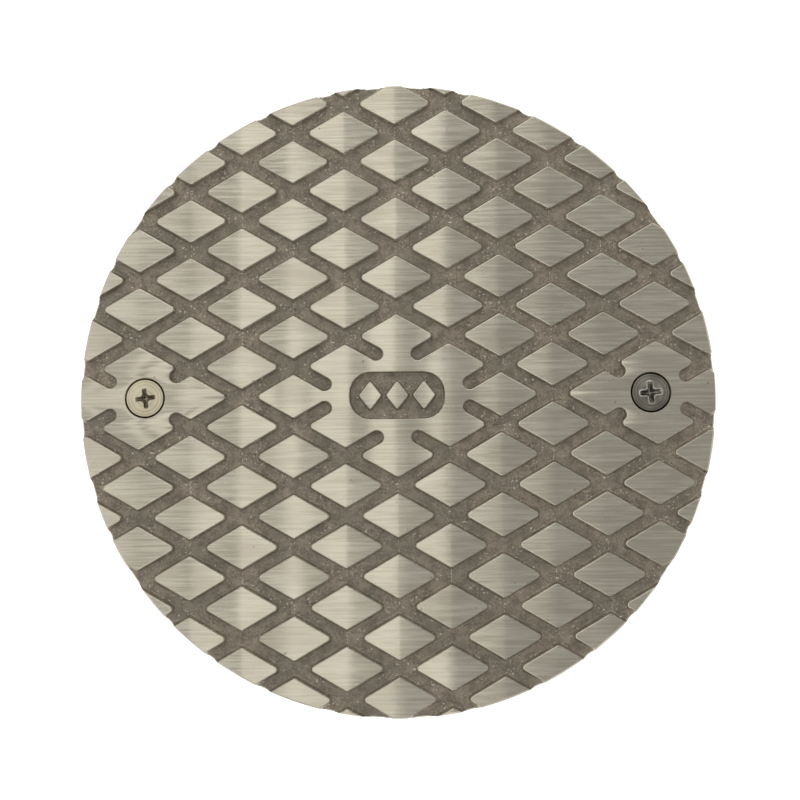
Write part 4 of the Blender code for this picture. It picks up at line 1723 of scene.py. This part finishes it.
@dataclass
class PipeBody:
    """The dipped iron body: a barrel tapped for the frame, an anchor flange and a spigot outlet."""

    name: str = "body_housing_iron"
    barrel_radius: float = 68.0
    barrel_bore: float = 62.0
    rim: float = 2.5
    flange_radius: float = 76.0
    notch_radius: float = 6.0
    spigot_radius: float = 55.6
    spigot_bore: float = 47.0
    spigot_length: float = 30.0
    throat_bore: float = 50.8
    bead: float = 1.8
    bead_height: float = 6.0
    rim_height: float = 6.0
    cone_top: float = 36.2
    cone_foot: float = 23.8
    gussets_and_notches: int = 4
    gusset_width: float = 5.0
    gusset_height: float = 9.0
    gusset_setback: float = 1.5

    def section(self) -> np.ndarray:
        """Draws the body's closed section, from the barrel's inner rim round.

        Returns:
            Rows of radius and height.
        """
        top, shoulder = LEVELS.barrel_top, LEVELS.shoulder
        flange_top, flange_foot = LEVELS.flange_top, LEVELS.flange_foot
        wide = self.barrel_radius + self.rim
        corners = [
            (self.barrel_bore, top),
            (wide, top),
            (wide, top - self.rim_height),
            (self.barrel_radius, top - self.rim_height - self.rim),
            (self.barrel_radius, flange_top),
            (self.flange_radius, flange_top),
            (self.flange_radius, flange_foot),
            (self.barrel_radius, flange_foot),
            (self.barrel_radius, self.cone_top),
            (self.spigot_radius, self.cone_foot),
            (self.spigot_radius, self.bead_height),
            (self.spigot_radius + self.bead, self.bead_height - self.bead),
            (self.spigot_radius + self.bead, self.bead),
            (self.spigot_radius, 0),
            (self.spigot_bore, 0),
            (self.spigot_bore, self.spigot_length),
            (self.throat_bore, self.spigot_length),
            (self.throat_bore, shoulder),
            (self.barrel_bore, shoulder),
        ]
        radii = [0.6, 1.0, 1.0, 1.2, 2.0, 1.0, 1.0, 2.0, 3.0, 4.0, 0.6, 0.6, 0.6, 0.5, 0.6, 0.6, 0.3, 0.5, 1.2]
        return softened(corners, radii, closed=True)

    def gussets(self, made: Shell) -> None:
        """Adds the upright webs under the flange: each a slanted plate in the section's plane, turned to its place.

        Args:
            made: what they are added to.
        """
        inner, outer = self.barrel_radius - 3.0, self.flange_radius - self.gusset_setback
        low, high = LEVELS.flange_foot - self.gusset_height, LEVELS.flange_foot + 2.5
        corners = [(inner, low), (self.barrel_radius + self.gusset_setback, low), (outer, high - 2.5)]
        corners += [(outer, high), (inner, high)]
        outline = rounded_outline(corners, [0.4, 1.4, 0.5, 0.3, 0.3])
        half = self.gusset_width / 2
        front = [(-0.7, half), (-0.2, half - 0.2), (0.0, half - 0.7)]
        rows = front + [(out, -level) for out, level in front[::-1]]
        plate = Shell("gusset")
        plate.loft(outline, rows)
        flat = np.vstack(plate.points)
        upright = np.column_stack((flat[:, 0], -flat[:, 2], flat[:, 1]))
        for number in range(self.gussets_and_notches):
            angle = math.tau * number / self.gussets_and_notches
            cos, sin = math.cos(angle), math.sin(angle)
            turn = np.array([[cos, sin, 0], [-sin, cos, 0], [0, 0, 1]])
            start = made.put(upright @ turn)
            made.faces.extend(tuple(start + index for index in face) for face in plate.faces)

    def notch_cutters(self) -> bpy.types.Object:
        """Upright round bars at the flange's edge, one halfway between each two gussets.

        Returns:
            The solid to cut away.
        """
        made = Shell("notches")
        for number in range(self.gussets_and_notches):
            angle = math.tau * (number + 0.5) / self.gussets_and_notches
            place = (self.flange_radius * math.cos(angle), self.flange_radius * math.sin(angle))
            rows = [(0.0, LEVELS.flange_top + 2), (0.0, LEVELS.flange_foot - 2)]
            made.loft(round_outline(self.notch_radius, place, 40), rows)
        return made.mesh_object()

    def build(self, iron: bpy.types.Material, bored: bpy.types.Material) -> bpy.types.Object:
        """Builds the body. Its barrel and throat are bored and tapped, and the rest is dipped.

        Args:
            iron: for what is dipped.
            bored: for what is bored bare.

        Returns:
            The finished piece.
        """
        ring = Shell("ring")
        ring.turned(self.section(), ROUND_STEPS, loop=True)
        solid = ring.mesh_object()
        boolean(solid, self.notch_cutters(), "DIFFERENCE")
        webs = Shell("webs")
        self.gussets(webs)
        made = joined(self.name, [solid, webs.mesh_object()])
        facts = FaceFacts.of(made.data)
        radius, height = facts.radius(), facts.centre[:, 2]
        outward = (facts.centre[:, :2] * facts.normal[:, :2]).sum(axis=1) / radius
        cut = (radius < self.barrel_bore + 0.2) & (height > self.spigot_length - 0.1) & (outward < 0.5)
        dress(made, (iron, bored), cut.astype(np.int32))
        facts.keep_level_flat(made)
        return made


# ----------------------------------------------------------------------------------------------
# Studio
# ----------------------------------------------------------------------------------------------


@dataclass(frozen=True)
class SoftBox:
    """A flat studio light: its middle, its size, where it faces, its brightness as seen and its tint."""

    name: str
    place: tuple[float, float, float]
    size: tuple[float, float]
    target: tuple[float, float, float]
    radiance: float
    tint: str = "#FFFFFF"

    @classmethod
    def overhead(cls, name: str, x: float, width: float, radiance: float) -> SoftBox:
        """Makes a long strip that looks straight down on the cover.

        Args:
            name: its name.
            x: where its middle is across the cover.
            width: its width, across the cover.
            radiance: its brightness as seen.

        Returns:
            The light, not yet hung.
        """
        return cls(name, (x, 0.10, 1.30), (width, 1.6), (x, 0.10, 0.0), radiance, "#FFFDF8")

    def build(self) -> bpy.types.Object:
        """Hangs the light. Its power is the radiance times pi times its area.

        Returns:
            The light, aimed at its target.
        """
        data = bpy.data.lights.new(self.name, "AREA")
        data.shape = "RECTANGLE"
        data.size, data.size_y = self.size
        data.energy = self.radiance * math.pi * self.size[0] * self.size[1]
        data.color = linear(self.tint)[:3]
        lamp = bpy.data.objects.new(self.name, data)
        bpy.context.scene.collection.objects.link(lamp)
        lamp.location = self.place
        aim = Vector(self.target) - Vector(self.place)
        lamp.rotation_euler = aim.to_track_quat("-Z", "Y").to_euler()
        return lamp


@dataclass
class Studio:
    """The pale floor, the soft lights and the camera."""

    floor_reach: float = 7.0
    floor_drop: float = 0.2
    world_grey: float = 0.46
    lens_mm: float = 54.0
    camera_place: tuple[float, float, float] = (0.004791, -0.026256, 0.392867)
    camera_turn_deg: tuple[float, float, float] = (4.88666, 0.85508, -0.61008)
    boxes: tuple[SoftBox, ...] = (
        SoftBox.overhead("outer_panel", -0.680, 0.440, 0.22),
        SoftBox.overhead("second_softbox", -0.408, 0.104, 0.62),
        SoftBox.overhead("left_gap_panel", -0.3105, 0.091, 0.14),
        SoftBox.overhead("main_softbox", -0.1485, 0.233, 0.64),
        SoftBox.overhead("right_gap_panel", -0.0055, 0.053, 0.13),
        SoftBox.overhead("edge_strip", 0.039, 0.036, 0.34),
        SoftBox.overhead("right_panel", 0.1035, 0.093, 0.05),
        SoftBox("back_softbox", (0.0, 1.25, 0.95), (1.9, 1.3), (0.0, 0.0, 0.1), 0.75),
        SoftBox("left_softbox", (-1.4, -0.3, 0.8), (1.0, 1.0), (0.0, 0.0, 0.06), 0.8),
        SoftBox("right_softbox", (1.4, -0.5, 0.7), (1.0, 1.0), (0.0, 0.0, 0.06), 0.6),
        SoftBox("front_softbox", (0.1, -1.5, 0.7), (1.2, 0.7), (0.0, 0.0, 0.06), 0.7),
    )

    def floor(self, paper: bpy.types.Material) -> None:
        """Lays the paper: a round floor just under the outlet's end that sweeps up into a wall far off.

        Args:
            paper: its material.
        """
        under = -self.floor_drop
        far = self.floor_reach / MM
        profile = [(0, under), (far, under), (far, far / 2)]
        made = Shell("floor")
        made.turned(softened(profile, [0, far / 4, 0], closed=False), SMALL_STEPS)
        sheet = made.mesh_object()
        sheet.data.materials.append(paper)
        sheet.data.shade_smooth()

    def camera(self) -> None:
        """Sets the camera over the cover."""
        data = bpy.data.cameras.new("view")
        data.lens = self.lens_mm
        data.sensor_width = 36.0
        data.clip_start, data.clip_end = 0.01, 50.0
        made = bpy.data.objects.new("view", data)
        bpy.context.scene.collection.objects.link(made)
        made.location = self.camera_place
        made.rotation_euler = [math.radians(angle) for angle in self.camera_turn_deg]
        bpy.context.scene.camera = made

    def world(self) -> None:
        """Fills the room with even pale light."""
        room = bpy.data.worlds.new("room")
        room.use_nodes = True
        back = room.node_tree.nodes["Background"]
        back.inputs["Color"].default_value = (self.world_grey,) * 3 + (1.0,)
        bpy.context.scene.world = room
        bpy.context.scene.view_settings.view_transform = "Standard"

    def build(self, paper: bpy.types.Material) -> None:
        """Sets up the whole studio.

        Args:
            paper: the floor's material.
        """
        self.floor(paper)
        self.world()
        for box in self.boxes:
            box.build()
        self.camera()


# ----------------------------------------------------------------------------------------------
# Finishes of this cleanout
# ----------------------------------------------------------------------------------------------


@dataclass
class Finishes:
    """Every material of the cleanout, made once."""

    # Nickel bronze ground on a belt: warm grey, its gloss drawn out across the scratches
    tread: bpy.types.Material = field(
        default_factory=BrushedBronze("nickel bronze, belt ground", "#CFC9B8", "#BBB4A3").build
    )
    # The same on the middle block, where the belt left a low ridge at each column of the tread
    middle_tread: bpy.types.Material = field(
        default_factory=BrushedBronze(
            "nickel bronze, belt ground in ridges", "#CFC9B8", "#BBB4A3", ridge_slope=0.036
        ).build
    )
    # Nickel bronze as sand-cast: dull brown grey, gritty, with darker blotches
    cast_bronze: bpy.types.Material = field(
        default_factory=CastMetal("nickel bronze, sand cast", "#A59A8A", "#80766A", "#7D7A6C").build
    )
    # Nickel bronze where a thin fin was knocked off: bare and bright
    bare_fin: bpy.types.Material = field(
        default_factory=CastMetal("nickel bronze, bare fin", "#DAD2C1", "#B5AC9A", "#ACA594", 0.45, 0.8).build
    )
    # Nickel bronze turned on a lathe: grey rings
    turned_bronze: bpy.types.Material = field(
        default_factory=TurnedMetal("nickel bronze, turned", "#BDB6A6", "#9B9384", roughness=0.36).build
    )
    # Plated steel of the left screw: slightly yellow, softly polished
    warm_steel: bpy.types.Material = field(
        default_factory=TurnedMetal(
            "stainless steel, warm", "#DAD1B7", "#B5AB93", (-SCREW_X, 0.0), roughness=0.3
        ).build
    )
    # Plain steel of the right screw: greyer and duller
    grey_steel: bpy.types.Material = field(
        default_factory=TurnedMetal(
            "stainless steel, grey", "#999588", "#726E64", (SCREW_X, 0.0), roughness=0.38
        ).build
    )
    # The driver's marks: bare scuffed steel
    scuffed_steel: bpy.types.Material = field(
        default_factory=CastMetal(
            "stainless steel, scuffed", "#C9C5BB", "#85817A", "#6E6A63", 0.42, 1.0, 0.2, 0.03
        ).build
    )
    # The left screw's recess: steel darkened as painted shade of the recess
    recess_shade_steel: bpy.types.Material = field(
        default_factory=CastMetal(
            "stainless steel, painted recess shade", "#C4BAA5", "#8F8675", "#6B6355", 0.5, 0.9, 0.2, 0.03
        ).build
    )
    # Grey iron dipped in drain coating: near-black, satin, over coarse sand grain
    iron: bpy.types.Material = field(
        default_factory=DippedIron("grey iron, dipped", "#3A3836", "#232221").build
    )
    # Grey iron bored bare: darker turned metal
    bored_iron: bpy.types.Material = field(
        default_factory=TurnedMetal("grey iron, bored", "#77736E", "#55524E", roughness=0.45, ring_mm=0.8).build
    )
    # Yellow brass turned bright
    turned_brass: bpy.types.Material = field(
        default_factory=TurnedMetal("yellow brass, turned", "#D9B46A", "#B98F47", roughness=0.3, ring_mm=0.45).build
    )
    # Yellow brass as cast: duller, grainy
    cast_brass: bpy.types.Material = field(
        default_factory=CastMetal("yellow brass, sand cast", "#C7A15B", "#AA8547", "#A08043", 0.52, 0.9).build
    )
    # Neoprene gasket: dull black with a little dust
    rubber: bpy.types.Material = field(
        default_factory=MouldedRubber("neoprene, moulded", "#3A3939", "#161616").build
    )
    # Studio paper: plain, pale and matt
    paper: bpy.types.Material = field(default_factory=PaleFloor("studio paper", "#F2F2F0", 0.52).build)


def build_rings(finishes: Finishes) -> None:
    """Builds the three gaskets and the two screw seals.

    Args:
        finishes: the cleanout's materials.
    """
    rings = (
        (RubberRing("cover_gasket_ring", 76.7, 72.3, 92.3, 1.4), "frame", "cover_gasket", "gasket_rubber"),
        (RubberRing("frame_gasket_ring", 68.0, 62.0, 74.3, 1.4), "frame_thread", "frame_gasket", "gasket_rubber"),
        (RubberRing("plug_gasket_ring", 53.3, 50.8, 42.3, 2.0), "plug_thread", "plug_gasket", "gasket_rubber"),
    )
    for ring, body, node, slot in rings:
        settle(ring.build(finishes.rubber), body, (node,))
    for side in Side:
        where = side.name.lower()
        ring = RubberRing(
            f"screw_seal_{where}_ring", 3.3, 2.5, 97.22, 0.9, (side.value * SCREW_X, 0.0), SMALL_STEPS
        )
        settle(ring.build(finishes.rubber), f"{where}_screw_thread", (f"screw_seal_{where}",))


def main() -> None:
    """Builds the cleanout from the cover down, then the studio."""
    logging.basicConfig(level=logging.INFO, format="%(name)s: %(message)s")
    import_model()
    finishes = Finishes()

    cover = CoverPlate()
    settle(
        cover.build(finishes.tread, finishes.cast_bronze, finishes.turned_bronze, finishes.middle_tread),
        "cover",
        ("cover_plate",),
    )
    beads = cover.casting_beads()
    dress(beads, (finishes.bare_fin,))
    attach(beads, "cover")

    left = CoverScrew(Side.LEFT, 7.0, burred=False, span=4.9, wing=1.05)
    # The left screw's recess takes steel darkened as painted shade of the recess
    settle(left.build(finishes.warm_steel, finishes.recess_shade_steel), "left_screw", ("cover_screw_left",))
    right = CoverScrew(Side.RIGHT, 5.0, burred=True)
    settle(
        right.build(finishes.grey_steel, finishes.scuffed_steel), "right_screw", ("cover_screw_right",)
    )
    build_rings(finishes)
    settle(
        TopFrame().build(finishes.turned_bronze, finishes.cast_bronze), "frame", ("top_frame",)
    )
    settle(
        ClosurePlug().build(finishes.turned_brass, finishes.cast_brass), "plug", ("closure_plug",)
    )
    settle(PipeBody().build(finishes.iron, finishes.bored_iron), "body", ("body_housing",))
    Studio().build(finishes.paper)


if __name__ == "__main__":
    main()
